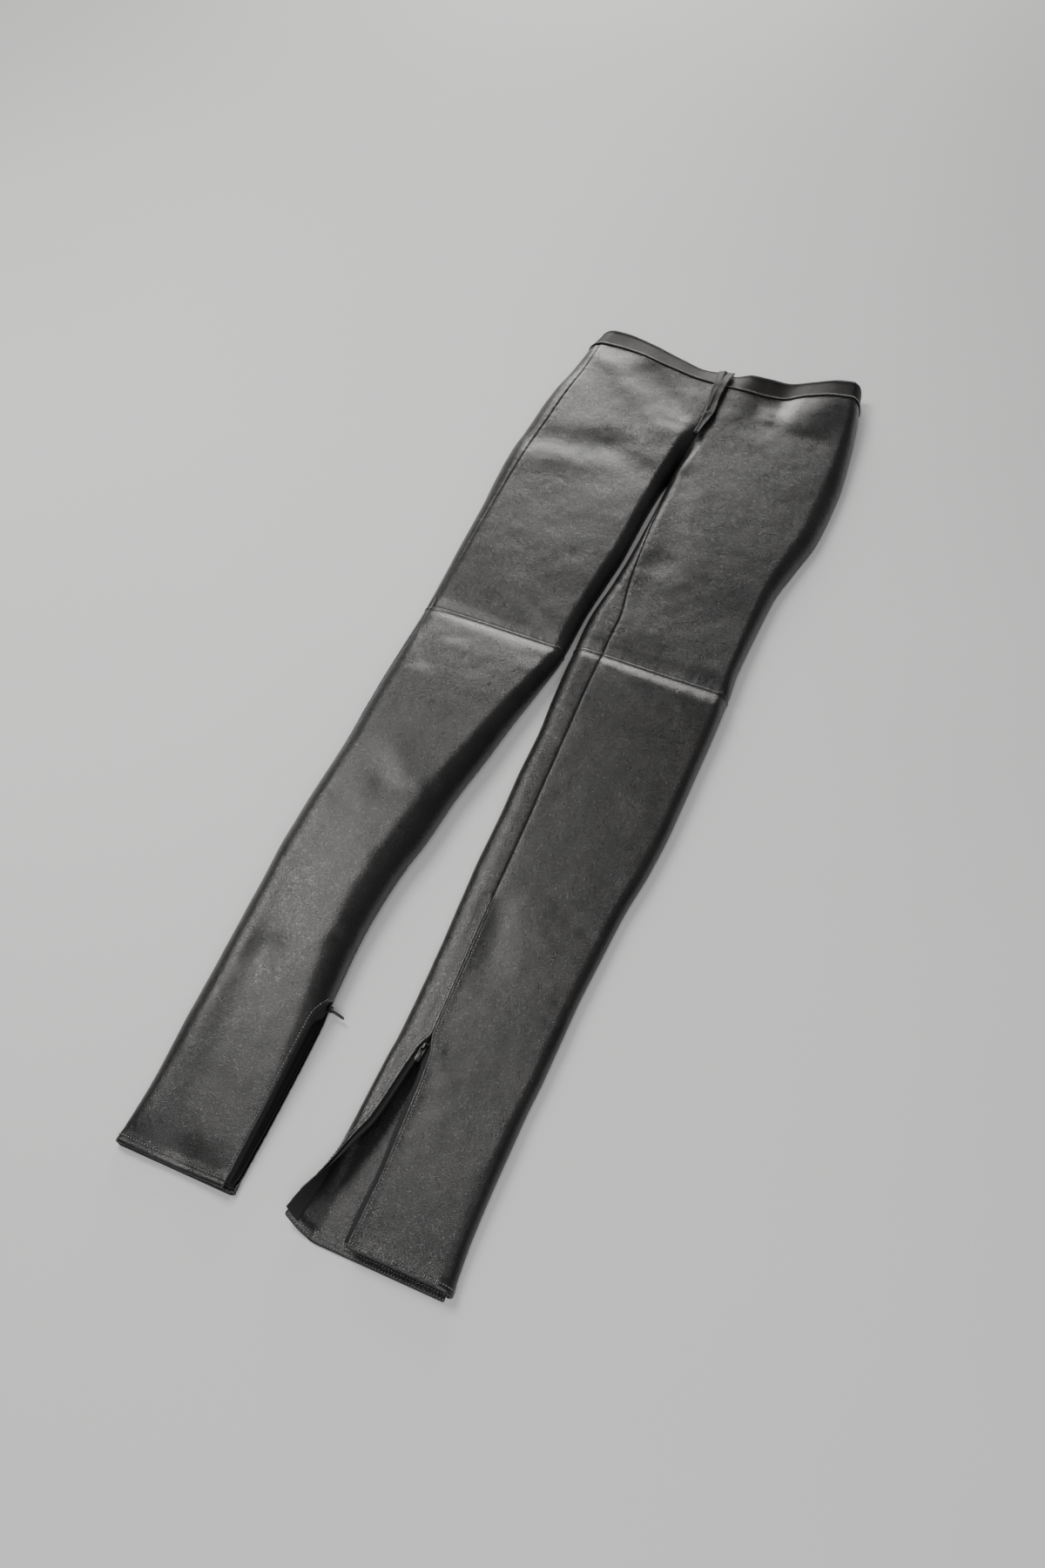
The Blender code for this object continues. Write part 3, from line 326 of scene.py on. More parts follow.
def add_length(x, z):
    return np.concatenate(([0.0], np.cumsum(np.hypot(np.diff(x), np.diff(z)))))


def curled_strip(station, distance):
    """Points of the curled back edge, by distance from its root along the leather."""
    root, edge_x, rise = (read_curve(CURL_CURVES[name], station) for name in CURL_COLUMNS[1:])
    across = root - edge_x
    if across > 0:
        turn = 2 * math.atan2(rise, across)
        radius = rise / (1 - math.cos(turn))
        length = radius * turn
    else:
        radius = rise / 2
        length = math.pi * radius - across
    angle = np.minimum(distance / radius, math.pi)
    level = np.maximum(distance - math.pi * radius, 0.0)
    return root - radius * np.sin(angle) + level, radius * (1 - np.cos(angle)), length


class Outline:
    """The outer line of one section, by distance along the leather.

    0 is the inner edge. Distances grow along the underside to the outer edge (at outer) and on
    over the top back to the inner edge (at end). Below 0 they run back over the top.
    """

    def __init__(self, side, station):
        self.side, self.station = side, station
        row = read_section(side, station)
        outer, inner = row["outer"], row["inner"]
        inward = math.copysign(1.0, inner - outer)
        step = np.linspace(0.0, math.pi, OUTLINE_POINTS)
        top_x = outer + (inner - outer) * (1 - np.cos(step)) / 2
        top_z = top_height(side, station, top_x)
        self.top_x = top_x
        self.top_s = add_length(top_x, top_z)
        quarter = np.linspace(0.0, math.pi / 2, QUARTER_POINTS)
        inner_radius = row["inner_rise"] if station <= CROTCH else 0.0
        under_x = np.concatenate((inner - inward * inner_radius * (1 - np.cos(quarter)),
                                  outer + inward * row["outer_rise"] * (1 - np.sin(quarter))))
        under_z = np.concatenate((inner_radius * (1 - np.sin(quarter)),
                                  row["outer_rise"] * (1 - np.cos(quarter))))
        under_s = add_length(under_x, under_z)
        self.outer = under_s[-1]
        self.end = self.outer + self.top_s[-1]
        self.root = math.pi / 2 * inner_radius
        self.outer_fold = (self.outer - math.pi / 2 * row["outer_rise"],
                           self.outer + row["outer_round"])
        self.s = np.concatenate((self.top_s[:-1] - self.top_s[-1], under_s[:-1],
                                 self.outer + self.top_s[:-1], self.end + under_s))
        self.x = np.concatenate((top_x[:-1], under_x[:-1], top_x[:-1], under_x))
        self.z = np.concatenate((top_z[:-1], under_z[:-1], top_z[:-1], under_z))
        self.outseam = self.seam_place(row["outseam"], from_outer=True)
        self.front_edge = self.seam_place(row["front_edge"], from_outer=False)
        self.back_edge = self.seam_place(row["back_edge"], from_outer=False) - self.end
        if side == "right" and station < OPEN_FROM:
            self.curl()

    def seam_place(self, inset, from_outer):
        """Distance along the leather of a seam that lies inset from an edge."""
        if inset <= 0:
            return self.outer + inset if from_outer else self.end - inset
        across = np.abs(self.top_x - self.top_x[0])
        return self.outer + np.interp(inset if from_outer else across[-1] - inset, across,
                                      self.top_s)

    def curl(self):
        """Bend the inner end of the back panel into its curl."""
        share = smooth_step((OPEN_FROM - self.station) / (OPEN_FROM - OPEN_FULL))
        extra = np.arange(CURL_FROM, self.root, CURL_STEP)
        x, z = np.interp(extra, self.s, self.x), np.interp(extra, self.s, self.z)
        curl_x, curl_z, length = curled_strip(self.station, self.root - extra)
        x, z = x + (curl_x - x) * share, z + (curl_z - z) * share
        keep = self.s >= self.root
        root_shift = (read_curve(CURL_CURVES["root"], self.station) - self.x[keep][0]) * share
        self.s = np.concatenate((extra, self.s[keep]))
        self.z = np.concatenate((z, self.z[keep]))
        fade = np.clip(1 - (self.s[len(extra):] - self.root) / CURL_FADE, 0.0, 1.0)
        self.x = np.concatenate((x, self.x[keep] + root_shift * fade))
        self.back_edge = self.back_edge + (self.root - length - self.back_edge) * share
        self.curl_length = self.root - self.back_edge

    def limits(self, face):
        """Where a front or back panel, or the waistband, starts and ends on this section."""
        joined = self.station > CROTCH
        low, high = {"front": (self.outseam, self.end if joined else self.front_edge),
                     "back": (0.0 if joined else self.back_edge, self.outseam),
                     "band": (0.0, self.end)}[face]
        return low + HALF_GAP, high - HALF_GAP

    def points(self, s):
        """3-D points of the surface at distances s."""
        x, z = np.interp(s, self.s, self.x), np.interp(s, self.s, self.z)
        low, high = self.outer_fold
        y = station_y(self.station, x, smooth_step((s - low) / (high - low)))
        if self.side == "right" and self.station < OPEN_FULL:
            share = np.clip((self.root - s) / self.curl_length, 0.0, CORNER_LIMIT)
            near_hem = smooth_step((self.station - CORNER_FROM)
                                   / (HEM["back"]["right"] - CORNER_FROM))
            y = y + CORNER_LIFT * share ** CORNER_POWER * near_hem
        return np.stack((x, y, z), axis=-1)


def surface(side, station, s):
    """Points and outward normals of the surface at distances s."""
    low, high = station - NORMAL_STEP, station + NORMAL_STEP
    if station <= CROTCH:
        high = min(high, CROTCH)
    else:
        low = max(low, CROTCH + ABOVE_CROTCH)
    line = Outline(side, station)
    around = line.points(s + NORMAL_STEP) - line.points(s - NORMAL_STEP)
    along = Outline(side, high).points(s) - Outline(side, low).points(s)
    return line.points(s), unit(np.cross(along, around) * SIDES[side])


# ---- finer form, millimetres
STEP = 2.4               # spacing of the fine grids
EDGE_STEPS = (0.0, 0.35, 0.8, 1.4, 2.2, 3.2, 4.6)    # closer rows along every edge
SHELL = 1.15             # leather that shows
HEM_SHELL = 2.3
HEM_TURN = 1.4           # over this width the hem's thickness ends
BAND_SHELL = 2.2
FLAP_SHELL = 1.45
RIM_STEPS = 3            # points round the thickness of an edge
SEAM_ROLL = 0.2          # how round an edge is, in shares of a half circle
FLAP_ROLL = 0.6
OPEN_ROLL = 0.6
FOLD_ROLL = 1.0

STITCH_PITCH = 2.8
STITCH_SHARE = 0.8       # a stitch's length in shares of the pitch
STITCH_WIDTH = 1.05
STITCH_SINK = 0.34       # how far a stitch's ends dive
STITCH_RISE = 0.26
STITCH_SLANT = 0.05      # spread of the stitches' slants
STITCH_LENGTHS = (0.92, 1.06)
HEM_PITCH = 2.5
HEM_ROWS = {             # stitch rows, from the edge
    "front": {"left": (5.4,), "right": (3.8,)},
    "back": {"left": (0.9, 4.2), "right": (0.9, 4.2)},
}
SLIT_ROW = 2.9
SLIT_FADE = 8.0          # below the zip's top the seam passes to a slit over this length
BAND_ROW = 2.2           # from the band's upper edge
SEAM_ROW = 1.4           # from its lower edge, with thicker stitches
SEAM_ROW_RISE = 0.35
SEAM_ROW_WIDTH = 1.4

# Creases on the upper side: a ridge, or a trough where height is below 0, along a curved line.
# Columns: x1, y1, x2, y2, bow, width, height. bow is how far the line's middle lies to the left
# of its chord, seen from its first end.
CREASES = (
    # across the hips, below the band
    (-148, 72, -112, 48, 3, 9, 0.41),
    (-60, 2, -22, -26, -2, 7.5, 0.32),
    (-110, 20, -64, -14, 4, 14, -0.25),
    (-96, 60, -60, 40, -3, 12, -0.25),
    (-42, 52, -14, 20, 3, 7.5, 0.32),
    (-26, 66, -10, 52, 1, 6, -0.23),
    (-30, -4, -4, -10, 2, 6, -0.36),
    (-34, -14, -8, -22, 1, 6, 0.23),
    (20, 50, 64, 40, 3, 9, -0.23),
    (88, 38, 132, 34, -3, 9, -0.3),
    (92, 30, 136, 26, -2, 10, 0.2),
    (30, -2, 62, -14, 2, 10.5, -0.27),
    (72, 64, 73, 38, 0, 13, 1.3),
    (60, 84, 100, 90, -2, 9, 0.27),
    # thighs
    (-148, -100, -96, -104, 4, 12, 0.36),
    (-120, -128, -62, -112, -4, 15, -0.27),
    (-60, -60, -18, -78, 3, 9, 0.32),
    (-150, -176, -110, -190, 3, 13.5, 0.23),
    (-90, -196, -40, -180, -5, 18, -0.27),
    (-136, -236, -84, -250, 4, 13.5, -0.23),
    (22, -112, 36, -168, 2, 10, 0.15),
    (28, -176, 44, -238, 2, 12, 0.12),
    (60, -110, 118, -130, 5, 21, -0.27),
    (70, -200, 126, -214, 6, 18, 0.23),
    (56, -262, 96, -290, 4, 15, -0.23),
    (108, -262, 140, -276, 2, 12, 0.23),
    # above the knees
    (-89, -296, -60, -310, 2, 8, 0.2),
    (-60, -308, -26, -332, -2, 8, 0.18),
    (-94, -345, -65, -347, 1, 4, 0.24),
    (-20, -290, -10, -298, 1, 3.4, 0.48),
    (-16, -281, -8, -287, 0, 2.9, -0.36),
    (-14, -330, -8, -338, 0, 3.4, 0.54),
    (-52, -300, -30, -288, 2, 9, -0.15),
    (44, -318, 78, -326, 2, 9, -0.23),
    (96, -316, 140, -322, -3, 9, 0.18),
    (-2, -240, 11, -252, 0, 2.9, -0.54),
    (-5, -304, 7, -316, 0, 2.9, -0.54),
    # below the knees
    (-112, -366, -60, -372, 2, 9, 0.41),
    (-60, -372, -14, -366, 1, 7.5, 0.32),
    (-150, -368, -138, -404, -2, 3.4, -0.48),
    (-138, -404, -124, -428, -2, 3.4, -0.42),
    (-128, -392, -94, -380, 1, 6, -0.32),
    (-34, -398, -11, -369, 2, 6, -0.36),
    (-44, -404, -20, -386, 2, 7.5, 0.23),
    (-96, -404, -70, -420, -2, 10.5, -0.23),
    (50, -372, 84, -378, 3, 8, 0.3),
    (104, -370, 148, -376, -2, 7, 0.34),
    (40, -392, 64, -420, -3, 10.5, -0.18),
    (110, -410, 148, -430, 3, 12, -0.18),
    (2, -346, 150, -346, 0, 3.5, -0.5),
    (-150, -356, -14, -356, 0, 3.5, -0.5),
    (44, -352, 60, -358, 1, 5, -0.3),
    (120, -354, 134, -360, 1, 6, -0.3),
    (46, -372, 146, -380, 2, 14, 0.9),
    (-100, -376, -30, -384, 2, 13, 0.6),
    # shins
    (-112, -524, -84, -556, 2, 9, 0.32),
    (-88, -566, -58, -560, 1, 7.5, 0.27),
    (-96, -578, -50, -570, 2, 7.5, -0.36),
    (-140, -470, -110, -500, 3, 13.5, -0.23),
    (-60, -470, -34, -500, 3, 12, 0.23),
    (-140, -590, -104, -620, 4, 12, -0.27),
    (-100, -640, -66, -656, 3, 10.5, 0.23),
    (70, -480, 120, -500, 4, 18, -0.18),
    (60, -560, 104, -584, 4, 16.5, 0.18),
    (90, -620, 134, -640, 3, 12, -0.18),
    # calves and ankles
    (-100, -719, -38, -732, 3, 6, -0.41),
    (-94, -712, -44, -724, 2, 7.5, 0.27),
    (-92, -680, -69, -660, 2, 6, -0.36),
    (-60, -707, -82, -752, 2, 6, 0.32),
    (-80, -724, -66, -738, 0, 6, 0.36),
    (-52, -814, -48, -884, 1, 5.2, 0.36),
    (-48, -884, -48, -926, 0, 3.4, 0.36),
    (-132, -800, -120, -870, -2, 9, 0.27),
    (-84, -800, -76, -880, 2, 10.5, 0.32),
    (-78, -936, -66, -942, 0, 6, 0.36),
    (-54, -934, -44, -941, 0, 3.4, 0.42),
    (-138, -930, -110, -938, 1, 9, 0.23),
    (122, -635, 143, -637, 0, 3.4, -0.54),
    (126, -703, 143, -705, 0, 3.4, -0.54),
    (124, -722, 142, -724, 0, 3.4, -0.48),
    (54, -640, 62, -690, 1, 7.5, -0.27),
    (58, -786, 84, -806, -2, 5.2, 0.36),
    (54, -781, 64, -780, 0, 3.6, 0.6),
    (64, -812, 56, -830, 1, 6, 0.36),
    (60, -798, 72, -842, -2, 7.5, -0.27),
    (112, -812, 140, -826, 2, 9, 0.23),
    (70, -920, 120, -932, 3, 13.5, -0.18),
    # the strip of the right leg's back panel beside its inseam
    (3, -420, 20, -424, 0, 3, -0.54),
    (8, -452, 27, -457, 0, 3, -0.48),
    (9, -478, 20, -481, 0, 2.8, 0.42),
    (14, -566, 30, -570, 0, 3, -0.36),
    (18, -684, 30, -689, 0, 2.8, -0.48),
    (18, -704, 26, -709, 0, 2.8, 0.42),
    (20, -724, 36, -729, 0, 3, -0.54),
    (22, -750, 30, -753, 0, 2.8, 0.42),
)

# Creases of the side that lies on the floor, pressed up into it.
UNDER_CREASES = (
    (-120, -330, -40, -342, 3, 5, 0.9),
    (-126, -356, -50, -360, -3, 5, 0.8),
    (-110, -376, -60, -384, 4, 4, 0.6),
    (40, -318, 120, -330, 3, 5, 0.9),
    (36, -348, 116, -352, -3, 5, 0.8),
    (50, -368, 110, -378, 4, 4, 0.6),
    (-140, -96, -60, -70, 5, 6, 0.9),
    (-110, -60, -30, -78, -4, 5, 0.7),
    (40, -74, 110, -64, 4, 6, 0.9),
    (60, -100, 140, -92, -5, 6, 0.7),
    (-110, 30, -40, 10, 5, 7, 0.6),
    (30, 14, 110, 34, -5, 7, 0.6),
    (-110, -560, -70, -600, 4, 6, 0.5),
    (60, -540, 110, -590, -4, 6, 0.5),
    (-100, -720, -70, -760, 3, 5, 0.5),
    (70, -700, 110, -740, -3, 5, 0.5),
)
CREASE_BEYOND = 0.25     # a crease fades out this share of its length past its ends
CREASE_TAPER = 0.6       # over this share
FACING_DOWN, FACING_UP = -0.25, 0.5      # z of a normal where the under side passes to the upper

# Soft waves of the whole surface: wavelength and height of each set.
WAVES = ((110.0, 0.2), (46.0, 0.08), (20.0, 0.045))
WAVES_IN_SET = 24
WAVE_LENGTHS = (0.75, 1.35)      # spread of the wavelengths in a set
PANEL_SEED, BAND_SEED = 3, 5
BAND_WAVES = 0.5         # share of the waves on the waistband
PUCKER_WAVES = ((7.1, 1.0, 0.4), (11.3, 0.7, 2.1), (4.6, 0.4, 4.0))     # length, share, phase
PUCKER_HEIGHT = 0.13
PUCKER_REACH = 5.0

# Height near an edge of a piece: bells of (height, centre, width) by distance from the edge, a
# step of (height, where it ends, width), and the share of the puckers.
EDGES = {
    "plain": (((-0.5, 0.0, 0.9), (-0.2, 0.0, 3.0)), None, 1.0),
    "under_band": (((-0.35, 0.0, 0.9),), None, 1.0),
    "tucked": (((-0.7, 0.0, 1.3), (-0.3, 0.0, 4.0)), None, 1.0),
    "lip": (((0.6, 1.6, 1.25),), None, 0.4),
    "band_top": (((0.5, 0.9, 1.0),), None, 0.5),
    "hem": (((0.3, 1.4, 1.1),), (0.4, HEM_DEPTH, HEM_TURN), 0.7),
    "slit": (((0.25, 0.8, 0.8),), (0.2, 6.5, 3.0), 0.7),
}


def crease_height(x, y, table):
    """Sum of a table's creases, each tapering to its ends."""
    height = np.zeros_like(x)
    for x1, y1, x2, y2, bow, width, rise in table:
        run = math.hypot(x2 - x1, y2 - y1)
        ux, uy = (x2 - x1) / run, (y2 - y1) / run
        along = ((x - x1) * ux + (y - y1) * uy) / run
        across = -(x - x1) * uy + (y - y1) * ux
        line = 4 * bow * np.clip(along, 0, 1) * (1 - np.clip(along, 0, 1))
        to_end = np.minimum(along, 1 - along) + CREASE_BEYOND
        height += (rise * smooth_step(to_end / CREASE_TAPER)
                   * np.exp(-((across - line) / width) ** 2))
    return height


def wave_height(x, y, seed):
    """Soft irregular waves."""
    draw = np.random.default_rng(seed)
    height = np.zeros_like(x)
    for length, rise in WAVES:
        for _ in range(WAVES_IN_SET):
            turn = draw.uniform(0, 2 * math.pi)
            phase = draw.uniform(0, 2 * math.pi)
            k = 2 * math.pi / (length * draw.uniform(*WAVE_LENGTHS))
            height += rise / math.sqrt(WAVES_IN_SET) * np.sin(
                k * (x * math.cos(turn) + y * math.sin(turn)) + phase)
    return height


def edge_relief(kind, distance, along):
    """Height added near an edge, with the small puckers that a line of sewing pulls in."""
    bells, step, pucker_share = EDGES[kind]
    wave = sum(share * np.sin(2 * math.pi * along / length + phase)
               for length, share, phase in PUCKER_WAVES)
    height = pucker_share * PUCKER_HEIGHT * wave * np.exp(-distance / PUCKER_REACH)
    for rise, centre, width in bells:
        height = height + rise * np.exp(-((distance - centre) / width) ** 2)
    if step:
        rise, end, width = step
        height = height + rise * smooth_step((end - distance) / width)
    return height


def fine_places(low, high, count):
    """Places from low to high, close together at both ends and count steps between."""
    ends = np.array(EDGE_STEPS)
    middle = np.linspace(ends[-1], high - low - ends[-1], count + 1)
    return low + np.concatenate((ends[:-1], middle, (high - low - ends[:-1])[::-1]))


def count_steps(length):
    """Steps between the close rows at the two ends of a length."""
    return max(2, round((length - 2 * EDGE_STEPS[-1]) / STEP))


def grid_normals(points, sign):
    return unit(np.cross(np.gradient(points, axis=0), np.gradient(points, axis=1)) * sign)


class Panel:
    """A fine grid on one leather piece: rows go up the garment, columns round it."""

    def __init__(self, side, face, low_station, high_station):
        self.side, self.face = side, face
        self.rows = fine_places(low_station, high_station,
                                count_steps(high_station - low_station))
        lines = [Outline(side, station) for station in self.rows]
        ends = [line.limits(face) for line in lines]
        seams = 2 * HALF_GAP if face == "band" else 0.0      # the band's width counts its gaps
        columns = count_steps(max(high - low for low, high in ends) + seams)
        self.s = np.array([fine_places(low, high, columns) for low, high in ends])
        self.points = np.array([line.points(s) for line, s in zip(lines, self.s)])
        self.normals = grid_normals(self.points, SIDES[side])
        rows = self.rows[:, None] + np.zeros_like(self.s)
        self.away = {"low": self.s - self.s[:, :1], "high": self.s[:, -1:] - self.s,
                     "bottom": rows - rows[0], "top": rows[-1] - rows}
        x, y = self.points[..., 0], self.points[..., 1]
        self.along = {"low": y, "high": y, "bottom": x, "top": x}
        self.depth = np.full(self.s.shape, SHELL)

    def crease(self):
        """The creases and soft waves, upper side and under side."""
        x, y = self.points[..., 0], self.points[..., 1]
        upper = smooth_step((self.normals[..., 2] - FACING_DOWN) / (FACING_UP - FACING_DOWN))
        high = crease_height(x, y, CREASES) + wave_height(x, y, PANEL_SEED)
        return high * upper - crease_height(x, y, UNDER_CREASES) * (1 - upper)

    def relief(self, height, edges):
        """Move the points along their normals; edges are (kind, edge, share)."""
        for kind, edge, share in edges:
            height = height + share * edge_relief(kind, self.away[edge], self.along[edge])
        self.points = self.points + self.normals * height[..., None]
        self.points[..., 2] = np.maximum(self.points[..., 2], 0.0)
        self.normals = grid_normals(self.points, SIDES[self.side])

    def column_line(self, distance, from_high, low, high):
        """Points and normals at a distance from a long edge, between two stations."""
        place, normal = [], []
        for i in np.nonzero((self.rows >= low) & (self.rows <= high))[0]:
            s = self.s[i, -1] - distance if from_high else self.s[i, 0] + distance
            place.append(read_rows(s, self.s[i], self.points[i]))
            normal.append(read_rows(s, self.s[i], self.normals[i]))
        return np.array(place), unit(np.array(normal))

    def row_line(self, distance, inner):
        """Points and normals at a distance from the lower end, on the outer or inner face."""
        station = self.rows[0] + distance
        i = int(np.clip(np.searchsorted(self.rows, station) - 1, 0, len(self.rows) - 2))
        t = (station - self.rows[i]) / (self.rows[i + 1] - self.rows[i])
        place = self.points[i] * (1 - t) + self.points[i + 1] * t
        normal = unit(self.normals[i] * (1 - t) + self.normals[i + 1] * t)
        return (place - normal * self.depth[i, 0], -normal) if inner else (place, normal)


# ---- materials
def new_material(name, roughness, metallic=0.0, specular=0.5):
    """A material, its node tree and shader, and its texture place: the shared frame's metres."""
    made = bpy.data.materials.new(name)
    made.use_nodes = True
    tree = made.node_tree
    shader = tree.nodes["Principled BSDF"]
    for socket, value in (("Roughness", roughness), ("Metallic", metallic),
                          ("Specular IOR Level", specular)):
        shader.inputs[socket].default_value = value
    return made, tree, shader, add_node(tree, "TexCoord").outputs["Object"]


def add_node(tree, kind, **values):
    made = tree.nodes.new(f"ShaderNode{kind}")
    for key, value in values.items():
        key = key.replace("_", " ") if key.istitle() else key
        if key in made.inputs:
            made.inputs[key].default_value = value
        else:
            setattr(made, key, value)
    return made


def add_texture(tree, kind, place, output="Fac", **values):
    made = add_node(tree, f"Tex{kind}", **values)
    tree.links.new(place, made.inputs["Vector"])
    return made.outputs[output]


def add_bump(tree, height, strength, distance, below=None):
    bump = add_node(tree, "Bump", Strength=strength, Distance=distance)
    tree.links.new(height, bump.inputs["Height"])
    if below is not None:
        tree.links.new(below, bump.inputs["Normal"])
    return bump.outputs["Normal"]


def spread(tree, value, low, high, from_low=0.3, from_high=0.7):
    """The value's usual range spread from low to high."""
    ranged = add_node(tree, "MapRange", From_Min=from_low, From_Max=from_high, To_Min=low,
                      To_Max=high)
    tree.links.new(value, ranged.inputs["Value"])
    return ranged.outputs["Result"]


def tint(tree, shader, value, dark, light, ends=(0.0, 1.0)):
    """Colour the shader from dark to light by a value."""
    ramp = add_node(tree, "ValToRGB")
    for element, end, colour in zip(ramp.color_ramp.elements, ends, (dark, light)):
        element.position = end
        element.color = (*colour, 1.0)
    tree.links.new(value, ramp.inputs["Fac"])
    tree.links.new(ramp.outputs["Color"], shader.inputs["Base Color"])


def make_leather(name, gloss, rough):
    """Black pebbled leather: polygonal grain, pores, cloudy fine wrinkles and an uneven finish."""
    made, tree, shader, place = new_material(name, rough, specular=gloss)
    broad = add_texture(tree, "Noise", place, Scale=22.0, Detail=5.0, Roughness=0.6)
    cloud = add_texture(tree, "Noise", place, Scale=170.0, Detail=4.0, Roughness=0.6)
    fine = add_texture(tree, "Noise", place, Scale=900.0, Detail=3.0, Roughness=0.6)
    wrinkle = add_texture(tree, "Noise", place, Scale=70.0, Detail=7.0, Roughness=0.62)
    grain = add_texture(tree, "Voronoi", place, "Distance", feature="DISTANCE_TO_EDGE",
                        Scale=820.0)
    tint(tree, shader, broad, (0.0060, 0.0058, 0.0059), (0.0115, 0.0108, 0.0102), (0.34, 0.68))
    total = add_node(tree, "Math", operation="ADD")
    tree.links.new(spread(tree, cloud, rough - 0.02, rough + 0.03), total.inputs[0])
    tree.links.new(spread(tree, fine, -0.05, 0.05), total.inputs[1])
    tree.links.new(total.outputs["Value"], shader.inputs["Roughness"])
    normal = None
    for height, strength, distance in (
            (wrinkle, 0.3, 0.0010), (cloud, 0.3, 0.00030),
            (spread(tree, grain, 0.0, 1.0, 0.0, 0.3), 0.58, 0.00014), (fine, 0.4, 0.00015)):
        normal = add_bump(tree, height, strength, distance, normal)
    tree.links.new(normal, shader.inputs["Normal"])
    return made


def make_woven(name, roughness, gloss, coat, wave, bump, dark, light):
    """Yarn in fine slanted bands."""
    made, tree, shader, place = new_material(name, roughness, specular=gloss)
    shader.inputs["Coat Weight"].default_value, shader.inputs["Coat Roughness"].default_value = coat
    bands = add_texture(tree, "Wave", place, wave_type="BANDS", bands_direction="DIAGONAL",
                        Scale=wave[0], Distortion=wave[1])
    tree.links.new(add_bump(tree, bands, *bump), shader.inputs["Normal"])
    tint(tree, shader, bands, dark, light)
    return made


def make_worn(name, noise, roughness, dark, light, **values):
    """A plain finish whose colour and roughness vary faintly."""
    made, tree, shader, place = new_material(name, roughness[0], **values)
    wear = add_texture(tree, "Noise", place, Scale=noise[0], Detail=noise[1])
    tree.links.new(spread(tree, wear, *roughness), shader.inputs["Roughness"])
    tint(tree, shader, wear, dark, light)
    return made


# What add_mesh takes is a material and the record's slot that it belongs to.
LEATHER = make_leather("leather", 0.5, 0.295), "leather"
BAND_LEATHER = make_leather("leather_of_band", 0.12, 0.5), "leather"
TAPE_CLOTH = make_woven("zip_tape", 0.8, 0.3, (0.0, 0.03), (520.0, 1.5), (0.6, 0.0002),
                        (0.008, 0.008, 0.009), (0.018, 0.018, 0.019)), "zip_tape"
METAL = make_worn("zip_metal", (900.0, 4.0), (0.2, 0.4), (0.018, 0.018, 0.018),
                  (0.060, 0.059, 0.057), metallic=1.0)
# The thread is black: its colour here is lifted to dark grey, a painted sheen that makes the stitch
# rows show bright. Its gloss and coat are its own.
THREAD_WITH_PAINTED_SHEEN = make_woven("thread", 0.26, 1.0, (1.0, 0.25), (1500.0, 0.0), (0.5, 0.0001),
                    (0.034, 0.034, 0.035), (0.070, 0.069, 0.068)), "thread"
NYLON = make_worn("nylon", (800.0, 2.0), (0.44, 0.6), (0.010, 0.010, 0.011),
                  (0.010, 0.010, 0.011), specular=0.15), "zip_tape"
FLOOR_PAINT = make_worn("pale_floor", (3.0, 3.0), (0.75, 0.75), (0.585, 0.585, 0.585),
                        (0.615, 0.615, 0.615))


# ---- meshes
def to_world(points):
    """Garment frame in millimetres to the shared frame in metres."""
    return (np.asarray(points) - MIDDLE) * MM


def add_mesh(name, vertices, faces, finish):
    material, slot = finish
    vertices[:, 2] = np.maximum(vertices[:, 2], 0.0)
    mesh = bpy.data.meshes.new(name)
    mesh.from_pydata(to_world(vertices).tolist(), [], faces)
    mesh.validate()
    mesh.shade_smooth()
    mesh.materials.append(material)
    made = bpy.data.objects.new(name, mesh)
    bpy.context.scene.collection.objects.link(made)
    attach(made, "trousers")
    return made


def shell_mesh(points, normals, depth, rolls, sign):
    """Vertices and faces of a closed shell with rounded rims.

    rolls says how round the rims are along the first column, last row, last column and first row.
    """
    rows, columns = points.shape[:2]
    count = rows * columns
    inner = points - normals * np.broadcast_to(depth, (rows, columns))[..., None]
    out, roll = np.zeros_like(points), np.zeros((rows, columns))
    for edge, beside, share in (
            (np.s_[0], np.s_[1], rolls[3]), (np.s_[:, -1], np.s_[:, -2], rolls[2]),
            (np.s_[-1], np.s_[-2], rolls[1]), (np.s_[:, 0], np.s_[:, 1], rolls[0])):
        out[edge] += unit(points[edge] - points[beside])
        roll[edge] = share
    rim = np.array([(r, 0) for r in range(rows)] + [(rows - 1, c) for c in range(1, columns)]
                   + [(r, columns - 1) for r in range(rows - 2, -1, -1)]
                   + [(0, c) for c in range(columns - 2, 0, -1)])
    r, c = rim.T
    middle, half = (points[r, c] + inner[r, c]) / 2, (points[r, c] - inner[r, c]) / 2
    turn = math.pi * np.arange(1, RIM_STEPS + 1) / (RIM_STEPS + 1)
    reach = (np.linalg.norm(half, axis=1) * roll[r, c])[:, None] * np.sin(turn)
    bulge = (middle[:, None] + half[:, None] * np.cos(turn)[:, None]
             + unit(out[r, c])[:, None] * reach[..., None])

    at_rim = r * columns + c
    added = 2 * count + np.arange(len(rim) * RIM_STEPS).reshape(len(rim), RIM_STEPS)
    loops = np.column_stack((at_rim, added, count + at_rim))
    following = np.roll(loops, -1, axis=0)
    edge_faces = np.stack((loops[:, :-1], loops[:, 1:], following[:, 1:], following[:, :-1]),
                          axis=-1).reshape(-1, 4)
    index = np.arange(count).reshape(rows, columns)
    quads = np.stack((index[:-1, :-1], index[:-1, 1:], index[1:, 1:], index[1:, :-1]),
                     axis=-1).reshape(-1, 4)
    faces = np.concatenate((quads[:, ::-1], quads + count, edge_faces))
    if sign < 0:
        faces = faces[:, ::-1]
    return (np.concatenate((points.reshape(-1, 3), inner.reshape(-1, 3), bulge.reshape(-1, 3))),
            faces.tolist())


def add_sheet(name, node, points, normals, depth, rolls, sign, finish):
    made = add_mesh(name, *shell_mesh(points, normals, depth, rolls, sign), finish)
    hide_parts(node)


